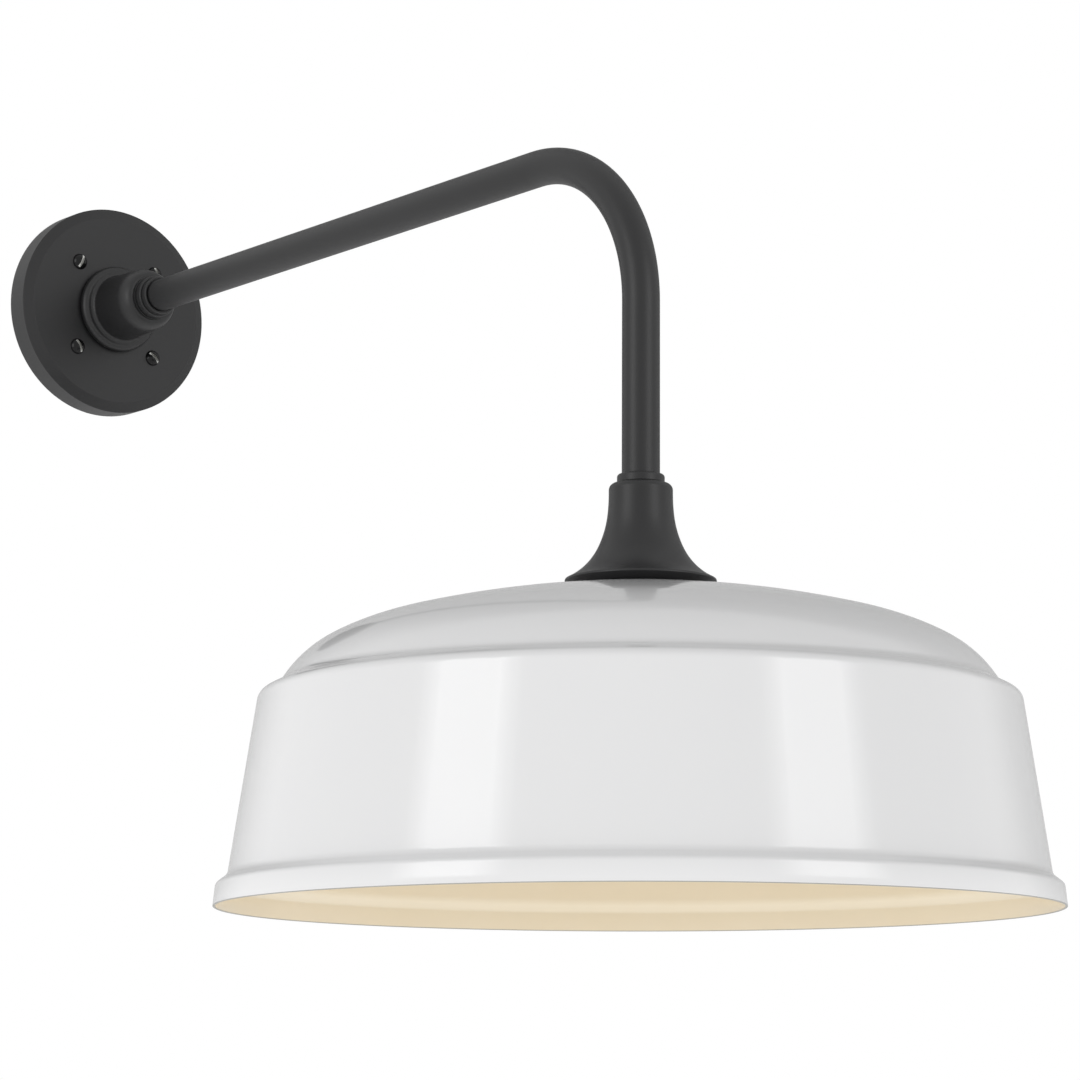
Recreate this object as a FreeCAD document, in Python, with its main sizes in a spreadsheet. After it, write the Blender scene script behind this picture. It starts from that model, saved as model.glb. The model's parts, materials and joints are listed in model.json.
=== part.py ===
import FreeCAD, Part
import math
import os
import Sketcher

# Barn light: a round wall plate with a cast hub, a bent tube arm, a flared bell fitter and a
# spun steel shade with a screw-base lamp inside. Millimetres, +Z up. The origin is the centre
# of the wall plate's back face, the wall is the plane y = 0 and the arm runs along -Y.

# Driving sizes, each one free to change by itself. Names that end in angle are degrees.
SIZES = {
    # Overall layout
    "wall_to_shade_axis": 645.0,
    "arm_over_rim": 479.0,
    "running_gap": 0.1,
    "body_gap": 0.3,
    "cut_overrun": 2.0,
    # Wall plate, hollow behind
    "plate_radius": 78.0,
    "plate_side_depth": 18.0,
    "plate_bevel_rise": 3.5,
    "plate_bevel_width": 7.4,
    "plate_web": 4.0,
    "plate_rim_wall": 6.0,
    "plate_edge_round": 0.5,
    "screw_hub_gap": 7.7,
    "screw_first_angle": 45.0,
    "screw_boss_wall": 3.4,
    # Gasket in a groove of the plate's back edge
    "gasket_inset": 1.5,
    "gasket_width": 2.8,
    "gasket_depth": 2.0,
    # Mounting plate that the wall box carries
    "strap_clearance": 10.0,
    "strap_thickness": 2.5,
    "strap_wire_hole_radius": 17.0,
    "box_screw_spacing": 88.9,
    "box_slot_length": 16.0,
    "box_slot_width": 5.0,
    # Round-head screws of the plate
    "plate_screw_radius": 3.0,
    "plate_screw_head_radius": 6.0,
    "plate_screw_head_height": 4.4,
    "plate_screw_slot_width": 1.8,
    "plate_screw_slot_depth": 2.3,
    "plate_screw_back_inset": 0.4,
    # Earth screw on the mounting plate
    "ground_screw_y": 12.0,
    "ground_screw_radius": 2.0,
    "ground_head_radius": 4.2,
    "ground_head_height": 2.3,
    "ground_washer_radius": 4.6,
    "ground_slot_width": 1.1,
    # Cast hub
    "hub_bead_radius": 32.3,
    "hub_bead_round": 4.2,
    "hub_bead_foot_angle": 64.8,
    "hub_bead_inner_angle": 33.6,
    "hub_taper": 1.5,
    "hub_length": 51.5,
    "hub_nose_round": 6.6,
    "hub_screw_inset": 19.0,
    # Stop collar on the tube, three rings one in front of the other
    "stop_front_wall": 2.3,
    "stop_front_length": 5.0,
    "stop_front_round": 0.9,
    "stop_middle_step": 1.5,
    "stop_middle_length": 5.3,
    "stop_back_step": 1.0,
    "stop_back_length": 2.0,
    "stop_recess_width": 0.9,
    "stop_recess_depth": 1.4,
    # Arm tube
    "tube_diameter": 23.4,
    "tube_wall": 2.0,
    "arm_bend_radius": 106.0,
    "tube_thread_overrun": 0.6,
    # Lock washer and nut behind the plate's web
    "lock_washer_width": 5.8,
    "lock_washer_thickness": 1.6,
    "lock_nut_wall": 4.3,
    "lock_nut_thickness": 4.0,
    # Plastic bushing in the tube's wall end
    "bushing_flange_inset": 0.5,
    "bushing_flange_thickness": 1.0,
    "bushing_sleeve_length": 8.0,
    "bushing_wall": 1.8,
    # Terminal block on the mounting plate
    "block_side_wall": 1.0,
    "block_height": 16.0,
    "block_depth": 8.0,
    "block_top_drop": 24.0,
    "block_wire_socket": 5.0,
    "block_screw_radius": 2.2,
    "block_screw_inset": 0.8,
    "block_screw_slot": 0.8,
    "block_fixing_radius": 1.5,
    "block_fixing_head_radius": 2.7,
    "block_fixing_head_height": 1.8,
    # Leads
    "wire_diameter": 2.4,
    "wire_pitch": 7.2,
    "wire_lift": 1.3,
    "wire_exit_bend": 5.0,
    "ground_wire_bend": 8.0,
    "ground_wire_run": 6.5,
    # Grub screws in the hub and in the bell
    "grub_radius": 2.5,
    "grub_length": 7.5,
    "grub_key_radius": 1.3,
    "grub_key_depth": 2.5,
    # Small collar on top of the bell
    "collar_wall": 2.9,
    "collar_height": 5.6,
    "collar_top_round": 1.8,
    "collar_foot_chamfer": 0.5,
    # Bell fitter, from its neck down to its seat
    "bell_neck_wall": 7.9,
    "bell_neck_length": 6.8,
    "bell_shoulder_round": 4.2,
    "bell_screw_drop": 12.8,
    "flare_first_radius": 110.0,
    "flare_first_angle": 7.0,
    "flare_middle_radius": 63.0,
    "flare_middle_angle": 25.6,
    "flare_lip_radius": 41.0,
    "flare_lip_angle": 65.7,
    "bell_lip_thickness": 1.2,
    "bell_lip_overhang": 5.84,
    "bell_bevel_rise": 3.6,
    "bell_seat_width": 8.0,
    "tube_socket_depth": 28.8,
    "bell_floor": 14.0,
    "bell_boss_wall": 5.5,
    "bell_core_width": 7.5,
    "bell_core_knee_rise": 10.4,
    "bell_core_knee_inset": 4.4,
    # Gasket under the bell
    "seat_gasket_thickness": 3.2,
    "seat_gasket_width": 8.5,
    "seat_gasket_inset": 0.9,
    # Spun shade, heights above the rim plane
    "shade_sheet": 1.5,
    "rim_radius": 254.0,
    "band_height": 13.2,
    "band_flare": 1.3,
    "step_width": 6.9,
    "step_rise": 5.3,
    "drum_height": 108.1,
    "drum_flare": 16.2,
    "ledge_width": 12.3,
    "ledge_rise": 6.1,
    "band_corner_round": 3.0,
    "drum_foot_round": 2.6,
    "drum_top_round": 4.6,
    "ledge_round": 4.0,
    "brow_drop": 3.37,
    "crown_angle": 14.75,
    "haunch_radius": 154.9,
    "haunch_angle": 27.57,
    "brow_radius": 70.3,
    "brow_angle": 57.0,
    "seat_margin": 1.6,
    # Threaded nipple, clamp washer and nut under the shade's top
    "nipple_radius": 8.5,
    "nipple_wall": 1.9,
    "nipple_stop": 1.0,
    "nipple_top_inset": 2.0,
    "nipple_overrun": 3.9,
    "clamp_washer_radius": 30.0,
    "clamp_washer_thickness": 2.0,
    "clamp_nut_flats": 27.0,
    "clamp_nut_thickness": 6.0,
    # Lampholder: metal cap, porcelain body, shell, contact and terminals
    "holder_cap_drop": 4.0,
    "holder_cap_height": 20.0,
    "holder_cap_sheet": 1.3,
    "holder_cap_round": 3.0,
    "holder_wall": 6.7,
    "holder_roof": 6.5,
    "holder_body_step": 0.4,
    "holder_body_taper": 2.2,
    "holder_neck_overlap": 2.0,
    "holder_bore_depth": 31.5,
    "holder_mouth_round": 1.5,
    "shell_sheet": 0.5,
    "shell_inset": 1.6,
    "shell_window_gap": 1.2,
    "rivet_radius": 1.2,
    "rivet_edge": 0.8,
    "centre_tab_radius": 6.2,
    "centre_tab_sheet": 0.8,
    "terminal_length": 10.0,
    "terminal_inner_reach": 2.5,
    "terminal_width": 6.0,
    "terminal_height": 7.0,
    "terminal_socket": 5.0,
    "holder_screw_radius": 1.6,
    "holder_screw_edge": 4.4,
    "holder_screw_bite": 5.0,
    "holder_screw_head_radius": 3.0,
    "holder_screw_head_height": 1.8,
    "holder_screw_slot": 0.8,
    # Lamp with a medium screw base
    "lamp_base_radius": 13.0,
    "lamp_base_length": 19.0,
    "lamp_base_sheet": 0.4,
    "lamp_cone_height": 2.9,
    "lamp_cone_top_radius": 5.4,
    "lamp_cone_inset": 1.4,
    "lamp_tip_radius": 4.6,
    "lamp_tip_height": 1.5,
    "lamp_neck_inset": 0.6,
    "lamp_neck_length": 10.0,
    "lamp_globe_radius": 30.0,
    "lamp_flare_radius": 46.0,
    "lamp_glass": 1.0,
}

# Turn of each plate screw's slot, as a driver left it: upper right, upper left, lower left, lower right
SLOT_ANGLES = (-78.0, 68.0, -62.0, -42.0)


class Size:
    """A value with the sheet formula that gives it."""

    def __init__(self, value, formula):
        self.value = value
        self.formula = formula

    def __add__(self, other):
        return Size(self.value + other.value, f"({self.formula} + {other.formula})")

    def __sub__(self, other):
        return Size(self.value - other.value, f"({self.formula} - {other.formula})")

    def __mul__(self, other):
        other = count(other)
        return Size(self.value * other.value, f"({self.formula} * {other.formula})")

    def __truediv__(self, other):
        other = count(other)
        return Size(self.value / other.value, f"({self.formula} / {other.formula})")

    def __neg__(self):
        return Size(-self.value, f"(-{self.formula})")


def count(number):
    """A plain number, such as a half, beside the sizes."""
    return number if isinstance(number, Size) else Size(number, repr(number))


def sine(angle):
    return Size(math.sin(math.radians(angle.value)), f"sin({angle.formula} * 1deg)")


def cosine(angle):
    return Size(math.cos(math.radians(angle.value)), f"cos({angle.formula} * 1deg)")


def heading(start, end):
    """Direction in degrees from one corner to the next."""
    rise, run = end[1] - start[1], end[0] - start[0]
    turn = math.degrees(math.atan2(rise.value, run.value))
    return Size(turn, f"(atan2({rise.formula}; {run.formula}) / 1deg)")


ZERO = Size(0.0, "0")


class Sheet:
    """The spreadsheet of driving sizes; each alias reads as a Size."""

    def __init__(self, doc):
        self.table = doc.addObject("Spreadsheet::Sheet", "Sizes")
        for row, (name, value) in enumerate(SIZES.items(), 1):
            self.table.set(f"A{row}", name)
            self.table.set(f"B{row}", str(value))
            self.table.setAlias(f"B{row}", name)
        doc.recompute()

    def __getattr__(self, name):
        return Size(float(self.table.get(name)), f"Sizes.{name}")


def bind(thing, prop, size):
    thing.setExpression(prop, size.formula)


# Frames that the pieces are placed in

def place_at_wall(thing, sizes):
    """Local +Z points out of the wall and local +Y stays up."""
    thing.Placement = FreeCAD.Placement(FreeCAD.Vector(), FreeCAD.Rotation(FreeCAD.Vector(1, 0, 0), 90))


def place_at_shade(thing, sizes):
    """Local origin at the centre of the shade's rim plane, +Z up."""
    y, z = -sizes.wall_to_shade_axis, -sizes.arm_over_rim
    thing.Placement = FreeCAD.Placement(FreeCAD.Vector(0, y.value, z.value), FreeCAD.Rotation())
    bind(thing, "Placement.Base.y", y)
    bind(thing, "Placement.Base.z", z)


# Bodies, sketches and features

def new_body(doc, label, place, sizes):
    body = doc.addObject("PartDesign::Body", label)
    body.Label = label
    place(body, sizes)
    return body


def new_sketch(body, name, role, offset=ZERO):
    """A sketch on one of the body's own origin planes, moved along its normal."""
    sketch = body.newObject("Sketcher::SketchObject", name)
    plane = [part for part in body.Origin.OriginFeatures if part.Role == role][0]
    sketch.AttachmentSupport = (plane, [""])
    sketch.MapMode = "FlatFace"
    sketch.AttachmentOffset = FreeCAD.Placement(FreeCAD.Vector(0, 0, offset.value), FreeCAD.Rotation())
    bind(sketch, "AttachmentOffset.Base.z", offset)
    return sketch


def hold(sketch, kind, geometry, point, size):
    """Tie one coordinate of a sketch point to its formula."""
    if size is ZERO:
        axis = -2 if kind == "DistanceX" else -1
        sketch.addConstraint(Sketcher.Constraint("PointOnObject", geometry, point, axis))
        return
    index = sketch.addConstraint(Sketcher.Constraint(kind, -1, 1, geometry, point, size.value))
    bind(sketch, f"Constraints[{index}]", size)


def add_circle(sketch, x, y, radius):
    centre = FreeCAD.Vector(x.value, y.value, 0)
    index = sketch.addGeometry(Part.Circle(centre, FreeCAD.Vector(0, 0, 1), radius.value), False)
    hold(sketch, "DistanceX", index, 3, x)
    hold(sketch, "DistanceY", index, 3, y)
    ring = sketch.addConstraint(Sketcher.Constraint("Radius", index, radius.value))
    bind(sketch, f"Constraints[{ring}]", radius)


def arc_between(start, end, radius, left):
    """The short arc from start to end whose centre lies on the left or the right of the way."""
    chord = end - start
    side = FreeCAD.Vector(-chord.y, chord.x, 0).normalize()
    reach = math.sqrt(max(radius**2 - (chord.Length / 2)**2, 0.0))
    centre = (start + end) * 0.5 + side * (reach if left else -reach)
    first, last = (start, end) if left else (end, start)
    low = math.atan2(first.y - centre.y, first.x - centre.x)
    high = math.atan2(last.y - centre.y, last.x - centre.x)
    high += 2 * math.pi if high < low else 0
    return Part.ArcOfCircle(Part.Circle(centre, FreeCAD.Vector(0, 0, 1), radius), low, high)


def add_outline(sketch, corners, closed=True):
    """Lines through the corners. A corner (x, y, radius, side) starts an arc instead."""
    points = [FreeCAD.Vector(corner[0].value, corner[1].value, 0) for corner in corners]
    ends = []
    for index, corner in enumerate(corners if closed else corners[:-1]):
        start, end = points[index], points[(index + 1) % len(points)]
        if len(corner) == 2:
            line = sketch.addGeometry(Part.LineSegment(start, end), False)
            ends.append((line, 1, 2))
            continue
        left = corner[3] == "left"
        arc = sketch.addGeometry(arc_between(start, end, corner[2].value, left), False)
        ring = sketch.addConstraint(Sketcher.Constraint("Radius", arc, corner[2].value))
        bind(sketch, f"Constraints[{ring}]", corner[2])
        ends.append((arc, 1, 2) if left else (arc, 2, 1))
    for index, (geometry, first, last) in enumerate(ends):
        hold(sketch, "DistanceX", geometry, first, corners[index][0])
        hold(sketch, "DistanceY", geometry, first, corners[index][1])
        if closed or index + 1 < len(ends):
            other, other_first = ends[(index + 1) % len(ends)][:2]
            sketch.addConstraint(Sketcher.Constraint("Coincident", geometry, last, other, other_first))
        else:
            hold(sketch, "DistanceX", geometry, last, corners[-1][0])
            hold(sketch, "DistanceY", geometry, last, corners[-1][1])


def oblong(left, right, low, high):
    """The four corners of a rectangle."""
    return [(left, low), (right, low), (right, high), (left, high)]


def add_slot(sketch, x, y, reach, half):
    """A slot along the sketch's X, its ends half circles about x - reach and x + reach."""
    left, right = FreeCAD.Vector((x - reach).value, y.value, 0), FreeCAD.Vector((x + reach).value, y.value, 0)
    up = FreeCAD.Vector(0, half.value, 0)
    low = sketch.addGeometry(Part.LineSegment(left - up, right - up), False)
    east = sketch.addGeometry(arc_between(right - up, right + up, half.value, True), False)
    high = sketch.addGeometry(Part.LineSegment(right + up, left + up), False)
    west = sketch.addGeometry(arc_between(left + up, left - up, half.value, True), False)
    sides = (low, east, high, west)
    for index, side in enumerate(sides):
        following = sides[(index + 1) % len(sides)]
        sketch.addConstraint(Sketcher.Constraint("Tangent", side, 2, following, 1))
    for arc, centre in ((east, x + reach), (west, x - reach)):
        hold(sketch, "DistanceX", arc, 3, centre)
        hold(sketch, "DistanceY", arc, 3, y)
        ring = sketch.addConstraint(Sketcher.Constraint("Radius", arc, half.value))
        bind(sketch, f"Constraints[{ring}]", half)


def turned(doc, label, place, sizes, corners):
    """A body turned about its local Z from a closed outline of (radius, height) corners."""
    body = new_body(doc, label, place, sizes)
    sketch = new_sketch(body, label + "_outline", "XZ_Plane")
    add_outline(sketch, corners)
    turn = body.newObject("PartDesign::Revolution", label + "_turn")
    turn.Profile = sketch
    turn.ReferenceAxis = (sketch, ["V_Axis"])
    turn.Angle = 360
    doc.recompute()
    return body


def padded(doc, body, name, sketch, length, backwards=False):
    """Grow the body by a sketch, along the sketch's normal."""
    pad = body.newObject("PartDesign::Pad", name)
    pad.Profile = sketch
    pad.Length = length.value
    pad.Reversed = backwards
    bind(pad, "Length", length)
    doc.recompute()
    return pad


def pocketed(doc, body, name, sketch, length, forwards=False):
    """Cut a sketch out of the body, against the sketch's normal or along it."""
    before = body.Shape.Volume
    pocket = body.newObject("PartDesign::Pocket", name)
    pocket.Profile = sketch
    pocket.Length = length.value
    pocket.Reversed = forwards
    bind(pocket, "Length", length)
    doc.recompute()
    if body.Shape.Volume >= before:
        raise RuntimeError(f"{name} cuts nothing from {body.Label}")
    return pocket


def patterned(doc, body, name, feature, sketch, copies):
    """Repeat a feature about its sketch's origin."""
    pattern = body.newObject("PartDesign::PolarPattern", name)
    pattern.Originals = [feature]
    pattern.Axis = (sketch, ["N_Axis"])
    pattern.Angle = 360
    pattern.Occurrences = copies
    body.Tip = pattern
    doc.recompute()


def rounded(doc, body, name, radius, rings):
    """Fillet the round edges that have the given (radius, height) pairs."""
    base = body.Tip
    tolerance = 1e-4
    names = []
    for index, edge in enumerate(base.Shape.Edges, 1):
        if not isinstance(edge.Curve, Part.Circle):
            continue
        for ring_radius, height in rings:
            near = abs(edge.Curve.Radius - ring_radius.value) < tolerance
            if near and abs(edge.Curve.Center.z - height.value) < tolerance:
                names.append(f"Edge{index}")
    if len(names) != len(rings):
        raise RuntimeError(f"{name} found {len(names)} of {len(rings)} edges")
    fillet = body.newObject("PartDesign::Fillet", name)
    fillet.Base = (base, names)
    fillet.Radius = radius.value
    bind(fillet, "Radius", radius)
    doc.recompute()


def swept(doc, label, place, sizes, role, rings, path, start, spine_role, spine_offset=ZERO, spine=None):
    """A body of round section along a path of lines and arcs."""
    body = new_body(doc, label, place, sizes)
    section = new_sketch(body, label + "_section", role, start)
    for x, y, radius in rings:
        add_circle(section, x, y, radius)
    route = new_sketch(body, label + "_route", spine_role, spine_offset)
    add_outline(route, path, closed=False)
    pipe = body.newObject("PartDesign::AdditivePipe", label + "_pipe")
    pipe.Profile = section
    pipe.Spine = (route, [f"Edge{index + 1}" for index in range(len(path) - 1)])
    doc.recompute()
    return body


# Sizes that several pieces share

def tube_radius(sizes):
    return sizes.tube_diameter / 2


def tube_bore(sizes):
    return tube_radius(sizes) - sizes.tube_wall


def face_depth(sizes):
    """Distance from the wall to the plate's face."""
    return sizes.plate_side_depth + sizes.plate_bevel_rise


def web_depth(sizes):
    """Distance from the wall to the back of the plate's web."""
    return face_depth(sizes) - sizes.plate_web


def cavity_radius(sizes):
    return sizes.plate_radius - sizes.plate_rim_wall


def tube_end_depth(sizes):
    """Distance from the wall to the tube's threaded end."""
    stack = sizes.lock_washer_thickness + sizes.lock_nut_thickness + sizes.tube_thread_overrun
    return web_depth(sizes) - stack


def hub_front_depth(sizes):
    return face_depth(sizes) + sizes.hub_length


def hub_screw_depth(sizes):
    return hub_front_depth(sizes) - sizes.hub_screw_inset


def screw_circle(sizes):
    """Radius of the circle of plate screws, clear of the hub's bead."""
    return sizes.hub_bead_radius + sizes.screw_hub_gap + sizes.plate_screw_head_radius


def wire_x(sizes):
    return sizes.wire_pitch / 2


def wire_radius(sizes):
    return sizes.wire_diameter / 2


def wire_plane(sizes):
    """Distance from the wall to the plane that the leads lie in behind the plate."""
    return sizes.strap_thickness + sizes.wire_lift + wire_radius(sizes)


def pole_xs(sizes):
    """The terminal block's poles; the two leads of the arm come down over the first two."""
    return [wire_x(sizes) + sizes.wire_pitch * step for step in (-1, 0, 1)]


def ground_screw_x(sizes):
    return pole_xs(sizes)[-1] + sizes.ground_wire_bend + sizes.ground_wire_run


def neck_radius(sizes):
    """Outside of the bell's neck."""
    return tube_radius(sizes) + sizes.bell_neck_wall


def flare_reach(sizes):
    """How far the bell's flare runs out and down, as three tangent arcs."""
    out, down, last = ZERO, ZERO, ZERO
    for bend, angle in flare_arcs(sizes):
        out = out + bend * (cosine(last) - cosine(angle))
        down = down + bend * (sine(angle) - sine(last))
        last = angle
    return out, down


def flare_arcs(sizes):
    return ((sizes.flare_first_radius, sizes.flare_first_angle),
            (sizes.flare_middle_radius, sizes.flare_middle_angle),
            (sizes.flare_lip_radius, sizes.flare_lip_angle))


def bell_seat_radius(sizes):
    return neck_radius(sizes) + flare_reach(sizes)[0] - sizes.bell_lip_overhang


def shade_seat_radius(sizes):
    """The flat that the spun dome has at its middle, a little wider than the bell's seat."""
    return bell_seat_radius(sizes) + sizes.seat_margin


def ledge_foot(sizes):
    """Outside corner where the ledge meets the dome's foot."""
    radius = sizes.rim_radius - sizes.band_flare - sizes.step_width - sizes.drum_flare - sizes.ledge_width
    return radius, sizes.band_height + sizes.step_rise + sizes.drum_height + sizes.ledge_rise


def crown_radius(sizes):
    """Radius of the dome's middle arc, which takes up what the outer arcs leave."""
    brow_run = sizes.brow_drop * cosine(sizes.brow_angle) / sine(sizes.brow_angle)
    outer = (sizes.haunch_radius * (sine(sizes.haunch_angle) - sine(sizes.crown_angle))
             + sizes.brow_radius * (sine(sizes.brow_angle) - sine(sizes.haunch_angle)))
    return (ledge_foot(sizes)[0] - brow_run - outer) / sine(sizes.crown_angle)


def dome_arcs(sizes):
    """The dome's three tangent arcs from the middle out, each with its slope at its outer end."""
    return ((crown_radius(sizes), sizes.crown_angle), (sizes.haunch_radius, sizes.haunch_angle),
            (sizes.brow_radius, sizes.brow_angle))


def crown_height(sizes):
    """Top of the dome's curve above the rim plane."""
    height, last = ledge_foot(sizes)[1] + sizes.brow_drop, ZERO
    for bend, angle in dome_arcs(sizes):
        height = height + bend * (cosine(last) - cosine(angle))
        last = angle
    return height


def seat_height(sizes):
    """Height of the flat that the spun dome has at its middle."""
    seat = shade_seat_radius(sizes)
    return crown_height(sizes) - seat * seat / (crown_radius(sizes) * 2)


def bell_foot_height(sizes):
    return seat_height(sizes) + sizes.seat_gasket_thickness


def lip_top_height(sizes):
    return bell_foot_height(sizes) + sizes.bell_bevel_rise + sizes.bell_lip_thickness


def bell_top_height(sizes):
    return lip_top_height(sizes) + flare_reach(sizes)[1] + sizes.bell_neck_length


def tube_foot_height(sizes):
    return bell_top_height(sizes) - sizes.tube_socket_depth


def bell_core_height(sizes):
    """Top of the hollow inside the bell, under the floor that the tube stands on."""
    return tube_foot_height(sizes) - sizes.bell_floor


def clamp_height(sizes):
    """Underside of the shade's sheet at its middle."""
    return seat_height(sizes) - sizes.shade_sheet


def cap_top_height(sizes):
    drop = sizes.clamp_washer_thickness + sizes.clamp_nut_thickness + sizes.holder_cap_drop
    return clamp_height(sizes) - drop


def holder_top_height(sizes):
    """Top of the porcelain, a little way up inside the cap's skirt."""
    return cap_top_height(sizes) - sizes.holder_cap_height + sizes.holder_neck_overlap


def bore_top_height(sizes):
    return holder_top_height(sizes) - sizes.holder_roof


def holder_foot_height(sizes):
    return bore_top_height(sizes) - sizes.holder_bore_depth


def shell_bore(sizes):
    return sizes.lamp_base_radius + sizes.body_gap


def holder_bore(sizes):
    """Radius of the porcelain's bore, round the shell."""
    return shell_bore(sizes) + sizes.shell_sheet + sizes.running_gap


def holder_neck_radius(sizes):
    """Outside of the porcelain where the cap's skirt goes over it."""
    return holder_bore(sizes) + sizes.holder_wall


def cap_radius(sizes):
    return holder_neck_radius(sizes) + sizes.running_gap + sizes.holder_cap_sheet


def holder_screw_offset(sizes):
    return holder_neck_radius(sizes) - sizes.running_gap - sizes.holder_screw_radius - sizes.holder_screw_edge


def shell_window_radius(sizes):
    """Hole in the shell's roof, clear of the centre contact."""
    return sizes.centre_tab_radius + sizes.shell_window_gap


def shell_rivet_x(sizes):
    return shell_window_radius(sizes) + sizes.rivet_radius + sizes.rivet_edge


def tip_top_height(sizes):
    """Top of the lamp's tip, just under the centre contact."""
    return bore_top_height(sizes) - sizes.centre_tab_sheet - sizes.body_gap


def leg(slant, side):
    """The other short side of a right-angled triangle."""
    square = slant.value**2 - side.value**2
    formula = f"sqrt({slant.formula} * {slant.formula} - {side.formula} * {side.formula})"
    return Size(math.sqrt(square), formula)


def screw_centres(sizes):
    """Centres of the four plate screws, as (x, y) numbers in the wall frame."""
    radius, first = screw_circle(sizes).value, sizes.screw_first_angle.value
    turns = [math.radians(first + 360 * index / len(SLOT_ANGLES)) for index in range(len(SLOT_ANGLES))]
    return [(radius * math.cos(turn), radius * math.sin(turn)) for turn in turns]


# Wall end

def screw_hole(sizes):
    """Centre and radius of the first plate screw's hole."""
    angle, ring = sizes.screw_first_angle, screw_circle(sizes)
    return ring * cosine(angle), ring * sine(angle), sizes.plate_screw_radius + sizes.running_gap


def make_wall_plate(doc, sizes):
    back = web_depth(sizes)
    cavity, face = cavity_radius(sizes), face_depth(sizes)
    hole = tube_radius(sizes) + sizes.running_gap
    groove_outer = sizes.plate_radius - sizes.gasket_inset
    groove_inner = groove_outer - sizes.gasket_width
    groove = sizes.gasket_depth
    body = turned(doc, "wall_plate", place_at_wall, sizes, [
        (hole, back), (cavity, back), (cavity, ZERO), (groove_inner, ZERO), (groove_inner, groove),
        (groove_outer, groove), (groove_outer, ZERO), (sizes.plate_radius, ZERO),
        (sizes.plate_radius, sizes.plate_side_depth), (sizes.plate_radius - sizes.plate_bevel_width, face),
        (hole, face)])
    x, y, bore_radius = screw_hole(sizes)
    boss = new_sketch(body, "boss_ring", "XY_Plane", sizes.strap_thickness)
    add_circle(boss, x, y, bore_radius + sizes.screw_boss_wall)
    pad = padded(doc, body, "boss", boss, back - sizes.strap_thickness)
    patterned(doc, body, "bosses", pad, boss, len(SLOT_ANGLES))
    bore = new_sketch(body, "screw_hole_ring", "XY_Plane", face)
    add_circle(bore, x, y, bore_radius)
    pocket = pocketed(doc, body, "screw_hole", bore, face)
    patterned(doc, body, "screw_holes", pocket, bore, len(SLOT_ANGLES))
    rounded(doc, body, "edge_round", sizes.plate_edge_round, [
        (sizes.plate_radius, sizes.plate_side_depth), (sizes.plate_radius - sizes.plate_bevel_width, face)])
    return body


def make_wall_gasket(doc, sizes):
    outer = sizes.plate_radius - sizes.gasket_inset - sizes.running_gap
    inner = outer - sizes.gasket_width + sizes.running_gap * 2
    return turned(doc, "wall_gasket", place_at_wall, sizes, oblong(inner, outer, ZERO, sizes.gasket_depth))


def make_mounting_plate(doc, sizes):
    body = new_body(doc, "mounting_plate", place_at_wall, sizes)
    disc = new_sketch(body, "disc", "XY_Plane")
    add_circle(disc, ZERO, ZERO, cavity_radius(sizes) - sizes.strap_clearance)
    add_circle(disc, ZERO, ZERO, sizes.strap_wire_hole_radius)
    padded(doc, body, "disc_pad", disc, sizes.strap_thickness)
    holes = new_sketch(body, "screw_hole_ring", "XY_Plane", sizes.strap_thickness)
    add_circle(holes, *screw_hole(sizes))
    depth = sizes.strap_thickness + sizes.cut_overrun
    pocket = pocketed(doc, body, "screw_hole", holes, depth)
    patterned(doc, body, "screw_holes", pocket, holes, len(SLOT_ANGLES))
    slots = new_sketch(body, "box_slot_outlines", "XY_Plane", sizes.strap_thickness)
    half = sizes.box_slot_width / 2
    reach = sizes.box_slot_length / 2 - half
    for side in (-1, 1):
        add_slot(slots, sizes.box_screw_spacing * side / 2, ZERO, reach, half)
    pocketed(doc, body, "box_slots", slots, depth)
    small = new_sketch(body, "small_holes", "XY_Plane", sizes.strap_thickness)
    gap = sizes.running_gap
    add_circle(small, ground_screw_x(sizes), sizes.ground_screw_y, sizes.ground_screw_radius + gap)
    add_circle(small, wire_x(sizes), block_fixing_y(sizes), sizes.block_fixing_radius + gap)
    pocketed(doc, body, "small_hole_cut", small, depth)
    return body


def round_head_screw(sizes, centre, slot_angle):
    """One slotted round-head screw of the plate, as a solid in the wall frame."""
    face, back = face_depth(sizes).value, sizes.plate_screw_back_inset.value
    shank, head = sizes.plate_screw_radius.value, sizes.plate_screw_head_radius.value
    height = sizes.plate_screw_head_height.value
    dome = (head**2 + height**2) / (2 * height)
    turn = math.asin(head / dome) / 2
    crown = FreeCAD.Vector(0, 0, face + height)
    middle = FreeCAD.Vector(dome * math.sin(turn), 0, face + height - dome * (1 - math.cos(turn)))
    edge = FreeCAD.Vector(head, 0, face)
    corners = [edge, FreeCAD.Vector(shank, 0, face), FreeCAD.Vector(shank, 0, back)]
    corners.append(FreeCAD.Vector(0, 0, back))
    edges = [Part.Arc(crown, middle, edge).toShape()]
    edges += [Part.LineSegment(a, b).toShape() for a, b in zip(corners, corners[1:] + [crown])]
    solid = Part.Face(Part.Wire(edges)).revolve(FreeCAD.Vector(), FreeCAD.Vector(0, 0, 1), 360)
    width, deep = sizes.plate_screw_slot_width.value, sizes.plate_screw_slot_depth.value
    over = sizes.cut_overrun.value
    corner = FreeCAD.Vector(-head - over, -width / 2, face + height - deep)
    slot = Part.makeBox(2 * (head + over), width, deep + over, corner)
    solid = solid.cut(slot)
    solid.rotate(FreeCAD.Vector(), FreeCAD.Vector(0, 0, 1), slot_angle)
    solid.translate(FreeCAD.Vector(centre[0], centre[1], 0))
    return solid


def grouped(doc, label, place, sizes, solids):
    """One node of separate solids, such as a set of like screws."""
    group = doc.addObject("Part::Feature", label)
    group.Label = label
    group.Shape = Part.makeCompound(solids)
    place(group, sizes)
    return group


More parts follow.
